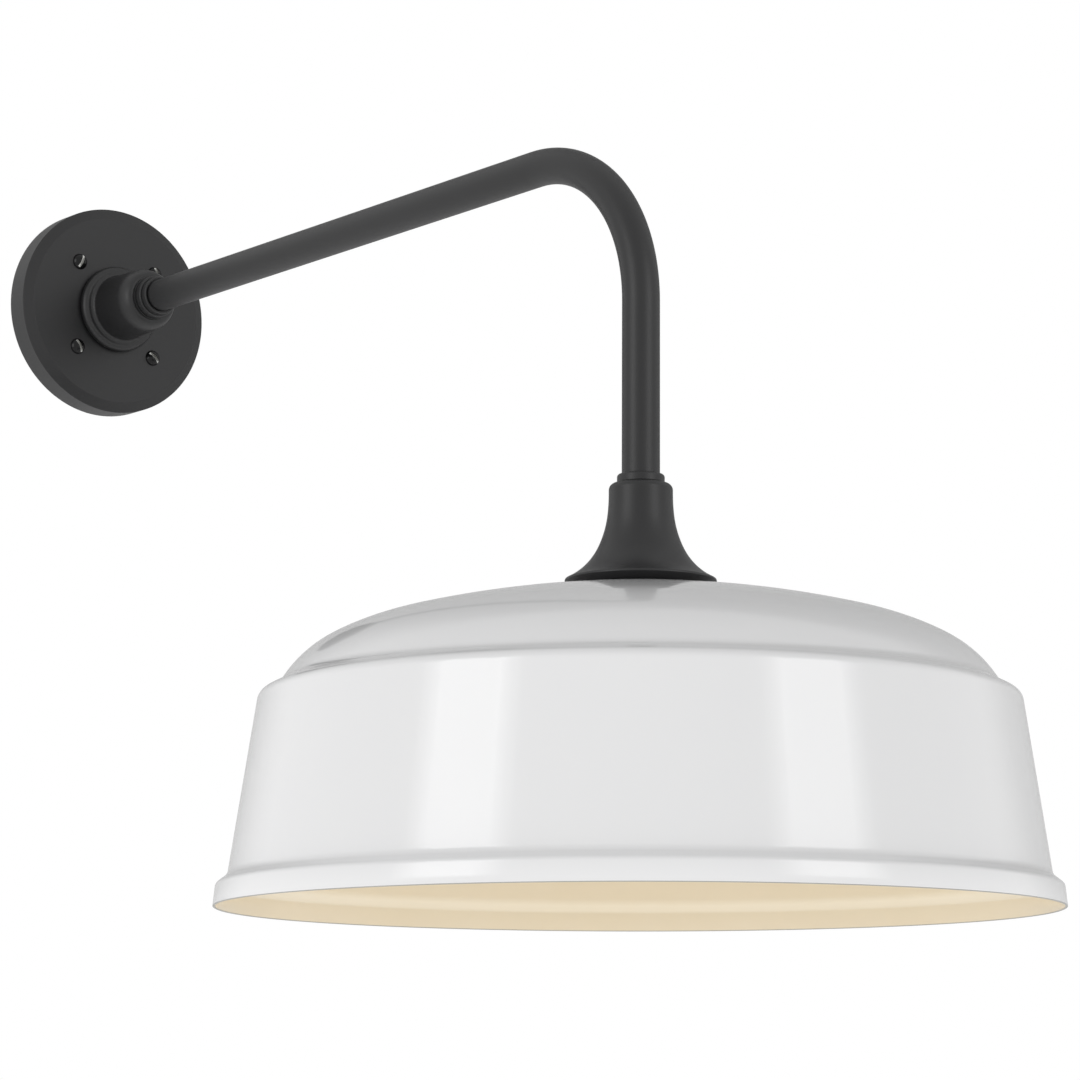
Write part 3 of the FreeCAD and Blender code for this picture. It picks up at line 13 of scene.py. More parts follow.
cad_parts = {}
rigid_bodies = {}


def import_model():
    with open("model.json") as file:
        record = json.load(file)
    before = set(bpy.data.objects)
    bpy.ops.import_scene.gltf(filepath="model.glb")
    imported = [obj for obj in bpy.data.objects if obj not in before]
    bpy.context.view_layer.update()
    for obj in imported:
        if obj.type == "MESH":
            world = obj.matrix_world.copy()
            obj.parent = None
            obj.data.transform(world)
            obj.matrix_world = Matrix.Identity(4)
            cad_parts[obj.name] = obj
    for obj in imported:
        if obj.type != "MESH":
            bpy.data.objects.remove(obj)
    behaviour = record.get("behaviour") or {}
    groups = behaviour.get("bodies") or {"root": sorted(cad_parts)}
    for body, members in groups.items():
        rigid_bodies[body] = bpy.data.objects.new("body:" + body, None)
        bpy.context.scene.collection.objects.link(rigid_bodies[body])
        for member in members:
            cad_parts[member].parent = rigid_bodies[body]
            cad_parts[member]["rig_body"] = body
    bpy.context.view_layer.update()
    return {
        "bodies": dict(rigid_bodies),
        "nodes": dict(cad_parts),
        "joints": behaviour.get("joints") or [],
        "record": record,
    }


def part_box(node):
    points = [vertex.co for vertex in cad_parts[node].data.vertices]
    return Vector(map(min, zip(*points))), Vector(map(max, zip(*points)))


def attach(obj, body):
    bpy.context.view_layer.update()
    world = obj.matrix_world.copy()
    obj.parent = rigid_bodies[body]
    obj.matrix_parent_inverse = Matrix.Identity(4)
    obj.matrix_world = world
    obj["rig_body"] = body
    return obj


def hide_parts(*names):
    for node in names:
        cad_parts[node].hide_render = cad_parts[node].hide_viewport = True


LOG = logging.getLogger("barn_light")

Point = tuple[float, float]
Corner = tuple[float, float, float]
Links = dict[str | int, object]

# Sizes of the light that several classes share, in millimetres as all sizes here
MM = 0.001
WALL_TO_AXIS = 645.0
ARM_OVER_RIM = 479.0
PLATE_FACE = 21.5

# Limits of the mesh code
ON_AXIS = 1e-6
SHARP_ANGLE = radians(32)
HOLD_SHARE = 0.3
HOLD_MOST = 0.4
SCREW_HOLE_GAP = 0.1
DRILL_REACH = 30.0
DRILL_SIDES = 48

WHITE = (1.0, 1.0, 1.0, 1.0)


# Small helpers


def linear(hex_colour: str) -> tuple[float, float, float, float]:
    """Turn an sRGB hex colour into linear values.

    Args:
        hex_colour: The colour as "#rrggbb".

    Returns:
        Red, green, blue and an alpha of 1, linear.
    """
    shares = [int(hex_colour[i:i + 2], 16) / 255 for i in (1, 3, 5)]
    values = [s / 12.92 if s <= 0.04045 else ((s + 0.055) / 1.055) ** 2.4 for s in shares]
    return (values[0], values[1], values[2], 1.0)


def add_node(tree: NodeTree, kind: str, links: Links | None = None, **settings: object) -> Node:
    """Add one node with its settings, values and links.

    Args:
        tree: The tree that gets the node.
        kind: The node's Blender type.
        links: Input name or number to a node or socket to link from, or to a plain value. A node
            stands for its first output in use.
        settings: Properties of the node.

    Returns:
        The new node.
    """
    node = tree.nodes.new(kind)
    for name, value in settings.items():
        setattr(node, name, value)
    for key, value in (links or {}).items():
        if isinstance(value, Node):
            value = next(socket for socket in value.outputs if socket.enabled)
        if isinstance(value, NodeSocket):
            tree.links.new(value, node.inputs[key])
        else:
            node.inputs[key].default_value = value
    return node


def empty_tree(owner: ID) -> NodeTree:
    """Turn on the nodes of a material or world and take them all out.

    Args:
        owner: The material or world.

    Returns:
        Its empty tree.
    """
    owner.use_nodes = True
    owner.node_tree.nodes.clear()
    return owner.node_tree


def show(name: str, data: ID) -> Object:
    """Put a mesh, lamp or camera in the scene.

    Args:
        name: The object's name.
        data: Its mesh, lamp or camera.

    Returns:
        The object, at the origin.
    """
    thing = bpy.data.objects.new(name, data)
    bpy.context.scene.collection.objects.link(thing)
    return thing


# Finishes


@dataclass(frozen=True)
class Relief:
    """Noise that draws a surface's grain: its stretch along X, Y and Z, its detail and its roughness."""

    making: str
    stretch: Corner = (1.0, 1.0, 1.0)
    detail: float = 1.5
    roughness: float = 0.55
    pores: bool = False


class Grain(Enum):
    """How a surface was made, which gives its fine relief."""

    POWDER = Relief("powder coat", detail=5.0)
    ENAMEL = Relief("sprayed enamel")
    TURNED = Relief("turned on a lathe", (0.05, 1.0, 1.0), 2.0, 0.5)
    ROLLED = Relief("rolled or drawn sheet", (1.0, 1.0, 0.08), 4.0, 0.5)
    MOULDED = Relief("moulded")
    FOAM = Relief("closed-cell foam", pores=True)
    GLAZED = Relief("glazed")
    FROSTED = Relief("etched", detail=5.0)


@dataclass(frozen=True)
class Finish:
    """A real material with the way its surface was made.

    The colour drifts to the second colour in patches of drift_mm. grain_mm is the size of the relief's
    grains and grain_height_mm their height. The roughness varies by rough_spread with the grains.
    """

    name: str
    colour: str
    second: str
    grain: Grain
    roughness: float
    grain_mm: float
    grain_height_mm: float
    metallic: float = 0.0
    ior: float = 1.5
    coat: float = 0.0
    coat_roughness: float = 0.05
    specular: float = 0.5
    transmission: float = 0.0
    drift_mm: float = 60.0
    drift_detail: float = 3.0
    drift_roughness: float = 0.6
    rough_spread: float = 0.06
    least_roughness: float = 0.02

    def make(self) -> Material:
        """Build the node material.

        Returns:
            The material, its patterns on Object coordinates in real millimetres.
        """
        material = bpy.data.materials.new(self.name)
        tree = empty_tree(material)
        place = add_node(tree, "ShaderNodeTexCoord").outputs["Object"]
        relief = self._relief(tree, place)
        drift = add_node(tree, "ShaderNodeTexNoise", {
            "Vector": place, "Scale": 1 / (self.drift_mm * MM), "Detail": self.drift_detail,
            "Roughness": self.drift_roughness})
        tone = add_node(tree, "ShaderNodeMix", {
            "Factor": drift, "A": linear(self.colour), "B": linear(self.second)}, data_type="RGBA")
        gloss = add_node(tree, "ShaderNodeMapRange", {
            "Value": relief, "To Min": max(self.roughness - self.rough_spread, self.least_roughness),
            "To Max": self.roughness + self.rough_spread})
        bump = add_node(tree, "ShaderNodeBump", {
            "Height": relief, "Distance": self.grain_height_mm * MM, "Strength": 1.0})
        shader = add_node(tree, "ShaderNodeBsdfPrincipled", {
            "Base Color": tone, "Roughness": gloss, "Normal": bump, "Metallic": self.metallic,
            "IOR": self.ior, "Coat Weight": self.coat, "Coat Roughness": self.coat_roughness,
            "Specular IOR Level": self.specular, "Transmission Weight": self.transmission})
        add_node(tree, "ShaderNodeOutputMaterial", {"Surface": shader})
        return material

    def _relief(self, tree: NodeTree, place: NodeSocket) -> Node:
        """Add the nodes of the fine relief.

        Args:
            tree: The material's tree.
            place: The Object coordinates.

        Returns:
            The node that gives a height from 0 to 1.
        """
        relief = self.grain.value
        scale = 1 / (self.grain_mm * MM)
        spread = add_node(tree, "ShaderNodeMapping", {"Vector": place, "Scale": relief.stretch})
        pattern = {"Vector": spread, "Scale": scale}
        if relief.pores:
            return add_node(tree, "ShaderNodeTexVoronoi", pattern)
        pattern |= {"Detail": relief.detail, "Roughness": relief.roughness}
        return add_node(tree, "ShaderNodeTexNoise", pattern)


# Black polyester powder coat: satin, with the fine sandy grain of a textured coat. The real grain of
# about 0.15 mm is too fine to show at this distance, so it is drawn at 0.8 mm.
POWDER_COAT = Finish(
    "satin_black_powder_coat", "#181819", "#1c1c1d", Grain.POWDER, 0.42, 0.8, 0.06, specular=0.43)
# Black baked paint on cast screws: smoother and glossier than the coat round them.
SCREW_PAINT = Finish(
    "gloss_black_screw_paint", "#0e0e0f", "#131314", Grain.ENAMEL, 0.16, 2.0, 0.01, specular=0.22)
# Bare steel in the screws' slots: partly paint that a driver has rubbed away, partly a painted glint along
# each slot.
SLOT_GLINT_STEEL = Finish(
    "rubbed_steel", "#c9c9c6", "#8f8f8c", Grain.ROLLED, 0.3, 0.5, 0.03, metallic=1.0, drift_mm=1.5)
# White enamel outside the shade: glossy, with a faint orange peel of about 3 mm.
WHITE_ENAMEL = Finish(
    "gloss_white_enamel", "#f1f1f1", "#efeff0", Grain.ENAMEL, 0.12, 3.0, 0.012, coat=0.3)
# Cream enamel inside the shade, sprayed the same way and a little less glossy.
CREAM_ENAMEL = Finish("gloss_cream_enamel", "#f2e6cf", "#eee1c6", Grain.ENAMEL, 0.2, 3.0, 0.012)
# Edge of the sheet, where the two coats meet and thin out over the steel.
EDGE_ENAMEL = Finish("thin_enamel_on_the_edge", "#a9a8a3", "#9d9b95", Grain.ENAMEL, 0.35, 1.5, 0.02)
# Closed-cell rubber foam of the gaskets: dull, with fine pores.
FOAM_RUBBER = Finish("black_foam_rubber", "#141414", "#1c1c1c", Grain.FOAM, 0.85, 1.2, 0.15)
# Bright zinc plating on steel: a grey metal with a faint blue and yellow drift.
ZINC = Finish(
    "zinc_plated_steel", "#b9bcc0", "#b5b09f", Grain.ROLLED, 0.34, 0.6, 0.01, metallic=1.0, drift_mm=12.0)
# Green dye on a plated screw, which marks the earth point.
GREEN_STEEL = Finish("green_dyed_steel", "#1c7a38", "#2a8a45", Grain.TURNED, 0.35, 0.4, 0.01, metallic=0.6)
# Turned brass of contacts and terminals, with the fine rings that the tool leaves.
BRASS = Finish(
    "turned_brass", "#c9a24f", "#b88d3f", Grain.TURNED, 0.28, 0.3, 0.01, metallic=1.0, drift_mm=8.0)
# Nickel-plated brass sheet of the lampholder's shell, drawn along its axis.
NICKEL = Finish(
    "nickel_plated_sheet", "#c8c4b8", "#bdb8aa", Grain.ROLLED, 0.26, 0.4, 0.008, metallic=1.0,
    drift_mm=9.0)
# Aluminium sheet of the lamp's screw base, drawn along its axis.
ALUMINIUM = Finish(
    "drawn_aluminium", "#cfd0d1", "#c3c4c6", Grain.ROLLED, 0.3, 0.4, 0.008, metallic=1.0, drift_mm=9.0)
# Solder of the lamp's tip contact, duller than the base and a little lumpy.
SOLDER = Finish("solder", "#b4b4b2", "#9c9c99", Grain.MOULDED, 0.45, 1.0, 0.08, metallic=1.0, drift_mm=3.0)
# Nylon mouldings: satin with a faint spark-eroded grain.
BLACK_NYLON = Finish("black_nylon", "#1a1a1a", "#202020", Grain.MOULDED, 0.5, 0.5, 0.02)
WHITE_NYLON = Finish("white_nylon", "#dcdad2", "#d5d2c8", Grain.MOULDED, 0.45, 0.5, 0.02)
# PVC insulation on the leads: smooth, extruded.
BLACK_PVC = Finish("black_pvc", "#161616", "#1b1b1b", Grain.MOULDED, 0.38, 0.8, 0.01)
WHITE_PVC = Finish("white_pvc", "#e2e0da", "#dad7cf", Grain.MOULDED, 0.38, 0.8, 0.01)
GREEN_PVC = Finish("green_pvc", "#1f7d3a", "#257f40", Grain.MOULDED, 0.38, 0.8, 0.01)
# Glazed porcelain of the lampholder: white with a slight warmth and a wet gloss.
PORCELAIN = Finish("glazed_porcelain", "#eeebe2", "#e6e2d6", Grain.GLAZED, 0.1, 4.0, 0.03, coat=0.6)
# Black glass bead that insulates the lamp's tip.
BLACK_GLASS = Finish("black_glass", "#0b0b0d", "#101013", Grain.GLAZED, 0.08, 2.0, 0.01)
# Inside-frosted lamp glass: it looks white and scatters the light that enters it.
FROSTED_GLASS = Finish(
    "frosted_lamp_glass", "#f5f3ee", "#f0eee8", Grain.FROSTED, 0.32, 0.5, 0.004, ior=1.52,
    transmission=0.35)

# Pieces whose CAD shape stays
CAD_FINISHES: dict[Finish, tuple[str, ...]] = {
    POWDER_COAT: ("wall_plate", "hub_collar", "fitter_collar"),
    SCREW_PAINT: ("hub_set_screw", "bell_set_screw"),
    FOAM_RUBBER: ("wall_gasket", "fitter_gasket"),
    ZINC: ("mounting_plate", "arm_lock_washer", "arm_lock_nut", "block_screw", "fitter_nipple",
           "shade_washer", "shade_nut", "socket_cap", "socket_screws"),
    GREEN_STEEL: ("ground_screw",),
    BRASS: ("terminal_screws", "socket_contact", "socket_terminals"),
    BLACK_NYLON: ("arm_bushing",),
    WHITE_NYLON: ("terminal_block",),
    BLACK_PVC: ("line_wire",),
    WHITE_PVC: ("neutral_wire",),
    GREEN_PVC: ("ground_wire",),
    PORCELAIN: ("socket_body",),
    SOLDER: ("bulb_contact",),
    BLACK_GLASS: ("bulb_insulator",),
    FROSTED_GLASS: ("bulb_glass",),
}


@dataclass
class Paints:
    """Makes each finish once."""

    made: dict[str, Material] = field(default_factory=dict)

    def of(self, finish: Finish) -> Material:
        """Give the material of a finish.

        Args:
            finish: The finish.

        Returns:
            Its one material.
        """
        if finish.name not in self.made:
            self.made[finish.name] = finish.make()
        return self.made[finish.name]


# Frames, profiles and meshes


class Place(Enum):
    """Where a turned piece's own axis lies in the row frame."""

    WALL = "axis out of the wall at the plate's centre"
    SHADE = "axis up through the centre of the shade's rim"


def frame_of(place: Place) -> Matrix:
    """Give the matrix from a piece's own frame, in millimetres, to the row frame in metres.

    Args:
        place: The piece's place.

    Returns:
        A 4x4 matrix that also scales to metres.
    """
    if place is Place.WALL:
        return Matrix.Rotation(radians(90), 4, "X") @ Matrix.Scale(MM, 4)
    return Matrix.Translation((0, -WALL_TO_AXIS * MM, -ARM_OVER_RIM * MM)) @ Matrix.Scale(MM, 4)


def rounded(corners: Sequence[Corner], step: float = 7.0, closed: bool = True) -> list[Point]:
    """Round the corners of an outline and hold the flats beside them.

    Args:
        corners: Radius from the axis, height and rounding of each corner, in millimetres.
        step: Degrees between two points of a rounding.
        closed: Whether the last corner joins the first.

    Returns:
        The outline's points, with a point just beyond each end of a rounding so that flats shade flat.
    """
    points: list[Point] = []
    total = len(corners)
    for index, (x, y, fillet) in enumerate(corners):
        inner = closed or 0 < index < total - 1
        if fillet <= 0 or not inner:
            points.append((x, y))
            continue
        here = Vector((x, y))
        before = Vector(corners[index - 1][:2])
        after = Vector(corners[(index + 1) % total][:2])
        way_in, way_out = (here - before).normalized(), (after - here).normalized()
        turn = way_in.angle_signed(way_out)
        reach = fillet * tan(abs(turn) / 2)
        start, end = here - way_in * reach, here + way_out * reach
        side = Vector((way_in.y, -way_in.x)) * (1 if turn > 0 else -1)
        centre = start + side * fillet
        count = max(2, ceil(degrees(abs(turn)) / step))
        hold = min(HOLD_SHARE * fillet, HOLD_MOST)
        if (start - before).length > 2 * hold:
            points.append(tuple(start - way_in * hold))
        for k in range(count + 1):
            spoke = (start - centre).to_3d()
            spoke.rotate(Matrix.Rotation(-turn * k / count, 3, "Z"))
            points.append((centre.x + spoke.x, centre.y + spoke.y))
        if (after - end).length > 2 * hold:
            points.append(tuple(end + way_out * hold))
    return points


def arc_line(arcs: Sequence[Point], step: float, least: int) -> list[Corner]:
    """Follow tangent arcs that start straight and all bend to one side.

    Args:
        arcs: Radius and end angle, in degrees, of each arc.
        step: Degrees between two points.
        least: Fewest points of an arc.

    Returns:
        How far on, how far aside and the angle in radians of each point.
    """
    points: list[Corner] = []
    on, aside, last = 0.0, 0.0, 0.0
    for bend, angle in arcs:
        low, high = radians(last), radians(angle)
        count = max(least, ceil((angle - last) / step))
        for k in range(1, count + 1):
            t = low + (high - low) * k / count
            spot = (on + bend * (sin(t) - sin(low)), aside + bend * (cos(low) - cos(t)), t)
            points.append(spot)
        on, aside, _ = points[-1]
        last = angle
    return points


def turned_mesh(name: str, outline: Sequence[Point], place: Place, segments: int,
                zone: Callable[[int], int] | None = None) -> Mesh:
    """Turn a closed outline about its axis.

    Args:
        name: The mesh's name.
        outline: Radius and height of each point, in millimetres. Points on the axis become one pole.
        place: Where the axis lies.
        segments: Faces round the axis.
        zone: Gives the material number of the ring of faces that starts at a point.

    Returns:
        The mesh in the row frame, its faces outward and its sharp edges marked.
    """
    work = bmesh.new()
    turns = [2 * pi * k / segments for k in range(segments)]
    rings: list[list[bmesh.types.BMVert]] = []
    for radius, height in outline:
        if radius < ON_AXIS:
            rings.append([work.verts.new((0, 0, height))])
            continue
        rings.append([work.verts.new((radius * cos(t), radius * sin(t), height)) for t in turns])
    for index, ring in enumerate(rings):
        following = rings[(index + 1) % len(rings)]
        if len(ring) == 1 and len(following) == 1:
            continue
        for k in range(segments):
            n = (k + 1) % segments
            loop = [ring[k % len(ring)], ring[n % len(ring)]]
            loop += [following[n % len(following)], following[k % len(following)]]
            face = work.faces.new(list(dict.fromkeys(loop)))
            face.material_index = zone(index) if zone else 0
            face.smooth = True
    bmesh.ops.recalc_face_normals(work, faces=work.faces)
    mesh = bpy.data.meshes.new(name)
    work.to_mesh(mesh)
    work.free()
    mesh.transform(frame_of(place))
    mesh.set_sharp_from_angle(angle=SHARP_ANGLE)
    return mesh


def fine(outline: Sequence[Point], step: float) -> list[Point]:
    """Divide the long runs of a closed outline.

    Args:
        outline: Radius and height of each point, in millimetres.
        step: The longest run that stays whole.

    Returns:
        The outline with points added on its runs.
    """
    points: list[Point] = []
    for here, after in zip(outline, list(outline[1:]) + [outline[0]]):
        a, b = Vector(here), Vector(after)
        count = max(1, ceil((b - a).length / step))
        points += [tuple(a.lerp(b, k / count)) for k in range(count)]
    return points


def baked(mesh: Mesh, modify: Callable[[Object], None]) -> Mesh:
    """Run one modifier on a mesh and turn the result to a plain mesh.

    Args:
        mesh: The mesh to start from.
        modify: Adds the modifier, with its settings, to the object that it is given.

    Returns:
        The new mesh, smooth and still bare of materials, with its sharp edges marked.
    """
    holder = show(mesh.name, mesh)
    modify(holder)
    graph = bpy.context.evaluated_depsgraph_get()
    made = bpy.data.meshes.new_from_object(holder.evaluated_get(graph), depsgraph=graph)
    holder.modifiers.clear()
    bpy.data.objects.remove(holder)
    made.materials.clear()
    for face in made.polygons:
        face.use_smooth = True
    made.set_sharp_from_angle(angle=SHARP_ANGLE)
    return made


def drilled(mesh: Mesh, screw: str, aim: Matrix) -> Mesh:
    """Drill the hole of a grub screw from a piece's axis outwards.

    Args:
        mesh: The piece.
        screw: The screw's CAD node, as wide along X as it is thick.
        aim: Turns and moves the drill, which starts at the origin and points out of the wall.

    Returns:
        The drilled mesh.
    """
    low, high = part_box(screw)
    radius = (high[0] - low[0]) / 2 / MM + SCREW_HOLE_GAP
    outline = [(0.0, 0.0), (radius, 0.0), (radius, DRILL_REACH), (0.0, DRILL_REACH)]
    drill = turned_mesh("drill", outline, Place.WALL, DRILL_SIDES)
    drill.transform(aim)
    cutter = show("drill", drill)

    def bore(holder: Object) -> None:
        """Cut with the drill."""
        cut = holder.modifiers.new("screw_hole", "BOOLEAN")
        cut.operation, cut.solver, cut.object = "DIFFERENCE", "EXACT", cutter

    made = baked(mesh, bore)
    bpy.data.objects.remove(cutter)
    return made


@dataclass
class Recipe:
    """A Geometry Nodes tree with named inputs, run once and turned to a plain mesh."""

    name: str
    inputs: dict[str, object]
    tree: NodeTree = field(init=False)
    inlet: Node = field(init=False)

    def __post_init__(self) -> None:
        """Start the tree with its sockets."""
        sockets = {float: "Float", int: "Int", Vector: "Vector", Object: "Object",
                   Material: "Material"}
        self.tree = bpy.data.node_groups.new(self.name, "GeometryNodeTree")
        panel = self.tree.interface
        panel.new_socket("Geometry", in_out="INPUT", socket_type="NodeSocketGeometry")
        panel.new_socket("Geometry", in_out="OUTPUT", socket_type="NodeSocketGeometry")
        for label, value in self.inputs.items():
            panel.new_socket(label, in_out="INPUT", socket_type=f"NodeSocket{sockets[type(value)]}")
        self.inlet = add_node(self.tree, "NodeGroupInput")

    def add(self, kind: str, links: Links | None = None, **settings: object) -> Node:
        """Add one node to the tree."""
        return add_node(self.tree, kind, links, **settings)

    def of(self, label: str) -> NodeSocket:
        """Give the tree's own input of that name."""
        return self.inlet.outputs[label]

    def run(self, shape: Node, start: Mesh) -> Mesh:
        """End the tree, set its inputs and run it on a mesh.

        Args:
            shape: The node that gives the finished geometry.
            start: The mesh that it starts from.

        Returns:
            The plain mesh.
        """
        whole = self.add("GeometryNodeRealizeInstances", {"Geometry": shape})
        dressed = self.add("GeometryNodeSetMaterial", {"Geometry": whole, "Material": self.of("Material")})
        self.add("NodeGroupOutput", {"Geometry": dressed})

        def modify(holder: Object) -> None:
            """Add the tree and set its inputs by their identifiers.

            Args:
                holder: The object that gets the tree.
            """
            modifier = holder.modifiers.new(self.name, "NODES")
            modifier.node_group = self.tree
            for item in self.tree.interface.items_tree:
                if item.in_out == "INPUT" and item.name in self.inputs:
                    modifier[item.identifier] = self.inputs[item.name]

        return baked(start, modify)


@dataclass
class Bench:
    """Puts finished pieces on the frame and dresses the CAD nodes that stay."""

    frame: dict[str, object]
    paints: Paints

    def dress(self, node: str, finish: Finish) -> None:
        """Give a CAD node that stays its material.

        Args:
            node: The node's name.
            finish: Its finish.
        """
        piece = self.frame["nodes"][node]
        if not piece.material_slots:
            piece.data.materials.append(None)
        for slot in piece.material_slots:
            slot.link = "OBJECT"
            slot.material = self.paints.of(finish)
        LOG.info("%s: CAD node in %s", node, finish.name)

    def put(self, name: str, mesh: Mesh, finishes: Sequence[Finish], node: str) -> None:
        """Put a new piece in the place of a CAD node, riding on its body.

        Args:
            name: The piece's name.
            mesh: Its mesh, in the row frame and bare of materials.
            finishes: Its materials, in the order of the faces' numbers.
            node: The CAD node that it stands for.
        """
        for finish in finishes:
            mesh.materials.append(self.paints.of(finish))
        piece = show(name, mesh)
        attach(piece, self.frame["nodes"][node]["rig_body"])
        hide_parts(node)
        LOG.info("%s: %d faces, stands for %s", name, len(mesh.polygons), node)


# Shade


@dataclass
class Shade:
    """Spun steel shade: rim band, step, tapering drum, ledge and a dome of three tangent arcs."""

    sheet: float = 1.5
    rim: Point = (254.0, 0.0)
    band_top: Point = (252.7, 13.2)
    drum_foot: Point = (245.8, 18.5)
    drum_top: Point = (229.6, 126.6)
    ledge: Point = (217.3, 132.7)
    rounds: tuple[float, float, float, float] = (3.6, 6.0, 7.0, 12.0)
    crown_height: float = 192.84
    arcs: tuple[Point, Point, Point] = ((614.6, 14.75), (154.9, 27.57), (70.3, 57.0))
    arc_step: float = 1.2
    arc_points: int = 6
    seat_radius: float = 42.0
    hole_radius: float = 8.6
    edge_round: float = 0.5
    edge_chamfer: float = 0.15
    edge_flat: float = 0.25
    segments: int = 288

    def dome(self, inset: float) -> list[Point]:
        """Sample the dome from its foot up to the seat.

        Args:
            inset: How far inside the outside skin, in millimetres.

        Returns:
            Radius and height of each point.
        """
        line = arc_line(self.arcs, self.arc_step, self.arc_points)
        points = [(on - inset * sin(t), self.crown_height - aside - inset * cos(t))
                  for on, aside, t in line]
        return [point for point in points[::-1] if point[0] > self.seat_radius]

    def corners(self, inset: float) -> list[Corner]:
        """Give the band, drum and ledge, set in by the sheet.

        Args:
            inset: How far inside the outside skin, in millimetres.

        Returns:
            The corners from the rim up, each with its rounding.
        """
        line = [self.rim, self.band_top, self.drum_foot, self.drum_top, self.ledge, self.dome(0.0)[0]]
        made = []
        for index, outward in enumerate(self.rounds, 1):
            a, b, c = (Vector(line[index + k]) for k in (-1, 0, 1))
            first, second = (b - a).normalized(), (c - b).normalized()
            normals = [Vector((-d.y, d.x)) for d in (first, second)]
            shift = (normals[0] + normals[1]) * inset / (1 + first.dot(second))
            convex = first.cross(second) > 0
            made.append((b.x + shift.x, b.y + shift.y, outward - inset if convex else outward + inset))
        return made

    def skin(self, inset: float) -> list[Point]:
        """Outline one side of the sheet, from the rim to the hole in the seat.

        Args:
            inset: How far inside the outside skin, in millimetres.

        Returns:
            Radius and height of each point.
        """
        dome = self.dome(inset)
        foot = (self.rim[0] - inset, self.edge_round, 0.0)
        seat = self.crown_height - self.seat_radius**2 / (2 * self.arcs[0][0]) - inset
        wall = rounded([foot] + self.corners(inset) + [dome[0] + (0.0,)], closed=False)
        return wall + dome[1:] + [(self.seat_radius, seat), (self.hole_radius, seat)]

    def build(self, bench: Bench) -> None:
        """Make the shade in place of its CAD node.

        Args:
            bench: The bench.
        """
        outside, inside = self.skin(0.0), self.skin(self.sheet)
        out_end = len(outside)
        in_end = out_end + len(inside) - 1
        inner, middle = self.rim[0] - self.sheet, self.rim[0] - self.sheet / 2
        edge = [(inner, self.edge_round), (inner + self.edge_chamfer, self.edge_chamfer),
                (middle - self.edge_flat, 0.0), (middle + self.edge_flat, 0.0),
                (self.rim[0] - self.edge_chamfer, self.edge_chamfer)]

        def zone(index: int) -> int:
            """Outside, inside or edge, by the point that a ring of faces starts at."""
            return 0 if index < out_end - 1 else 1 if index < in_end else 2

        outline = outside + inside[:0:-1] + edge
        mesh = turned_mesh("shade_skin", outline, Place.SHADE, self.segments, zone)
        bench.put("shade_skin", mesh, (WHITE_ENAMEL, CREAM_ENAMEL, EDGE_ENAMEL), "shade")


# Arm


@dataclass
class Arm:
    """Steel tube that runs straight out of the hub and bends down to the bell."""

    radius: float = 11.7
    wall: float = 2.0
    bend_radius: float = 106.0
    wall_end: float = 11.3
    drop: float = 249.0
    sides: int = 112
    bend_steps: int = 64

    def build(self, bench: Bench) -> None:
        """Make the tube in place of its CAD node.

        Args:
            bench: The bench.
        """
        route = bpy.data.meshes.new("arm_route")
        reach = -WALL_TO_AXIS * MM
        corners = [(0, -self.wall_end * MM, 0), (0, reach, 0), (0, reach, -self.drop * MM)]
        route.from_pydata(corners, [(0, 1), (1, 2)], [])
        recipe = Recipe("bent_tube", {
            "Bend Radius": self.bend_radius * MM, "Bend Steps": self.bend_steps,
            "Tube Radius": self.radius * MM, "Sides": self.sides,
            "Material": bench.paints.of(POWDER_COAT)})
        line = recipe.add("GeometryNodeMeshToCurve", {"Mesh": recipe.of("Geometry")})
        bent = recipe.add("GeometryNodeFilletCurve", {
            "Curve": line, "Count": recipe.of("Bend Steps"), "Radius": recipe.of("Bend Radius")},
            mode="POLY")
        ring = recipe.add("GeometryNodeCurvePrimitiveCircle", {
            "Resolution": recipe.of("Sides"), "Radius": recipe.of("Tube Radius")})
        tube = recipe.add("GeometryNodeCurveToMesh", {"Curve": bent, "Profile Curve": ring})
        skin = recipe.run(tube, route)

        def thicken(holder: Object) -> None:
            """Give the skin the tube's wall."""
            wall = holder.modifiers.new("tube_wall", "SOLIDIFY")
            wall.thickness, wall.offset, wall.use_even_offset = self.wall * MM, -1.0, True

        bench.put("arm_tube_swept", baked(skin, thicken), (POWDER_COAT,), "arm_tube")


# Hub


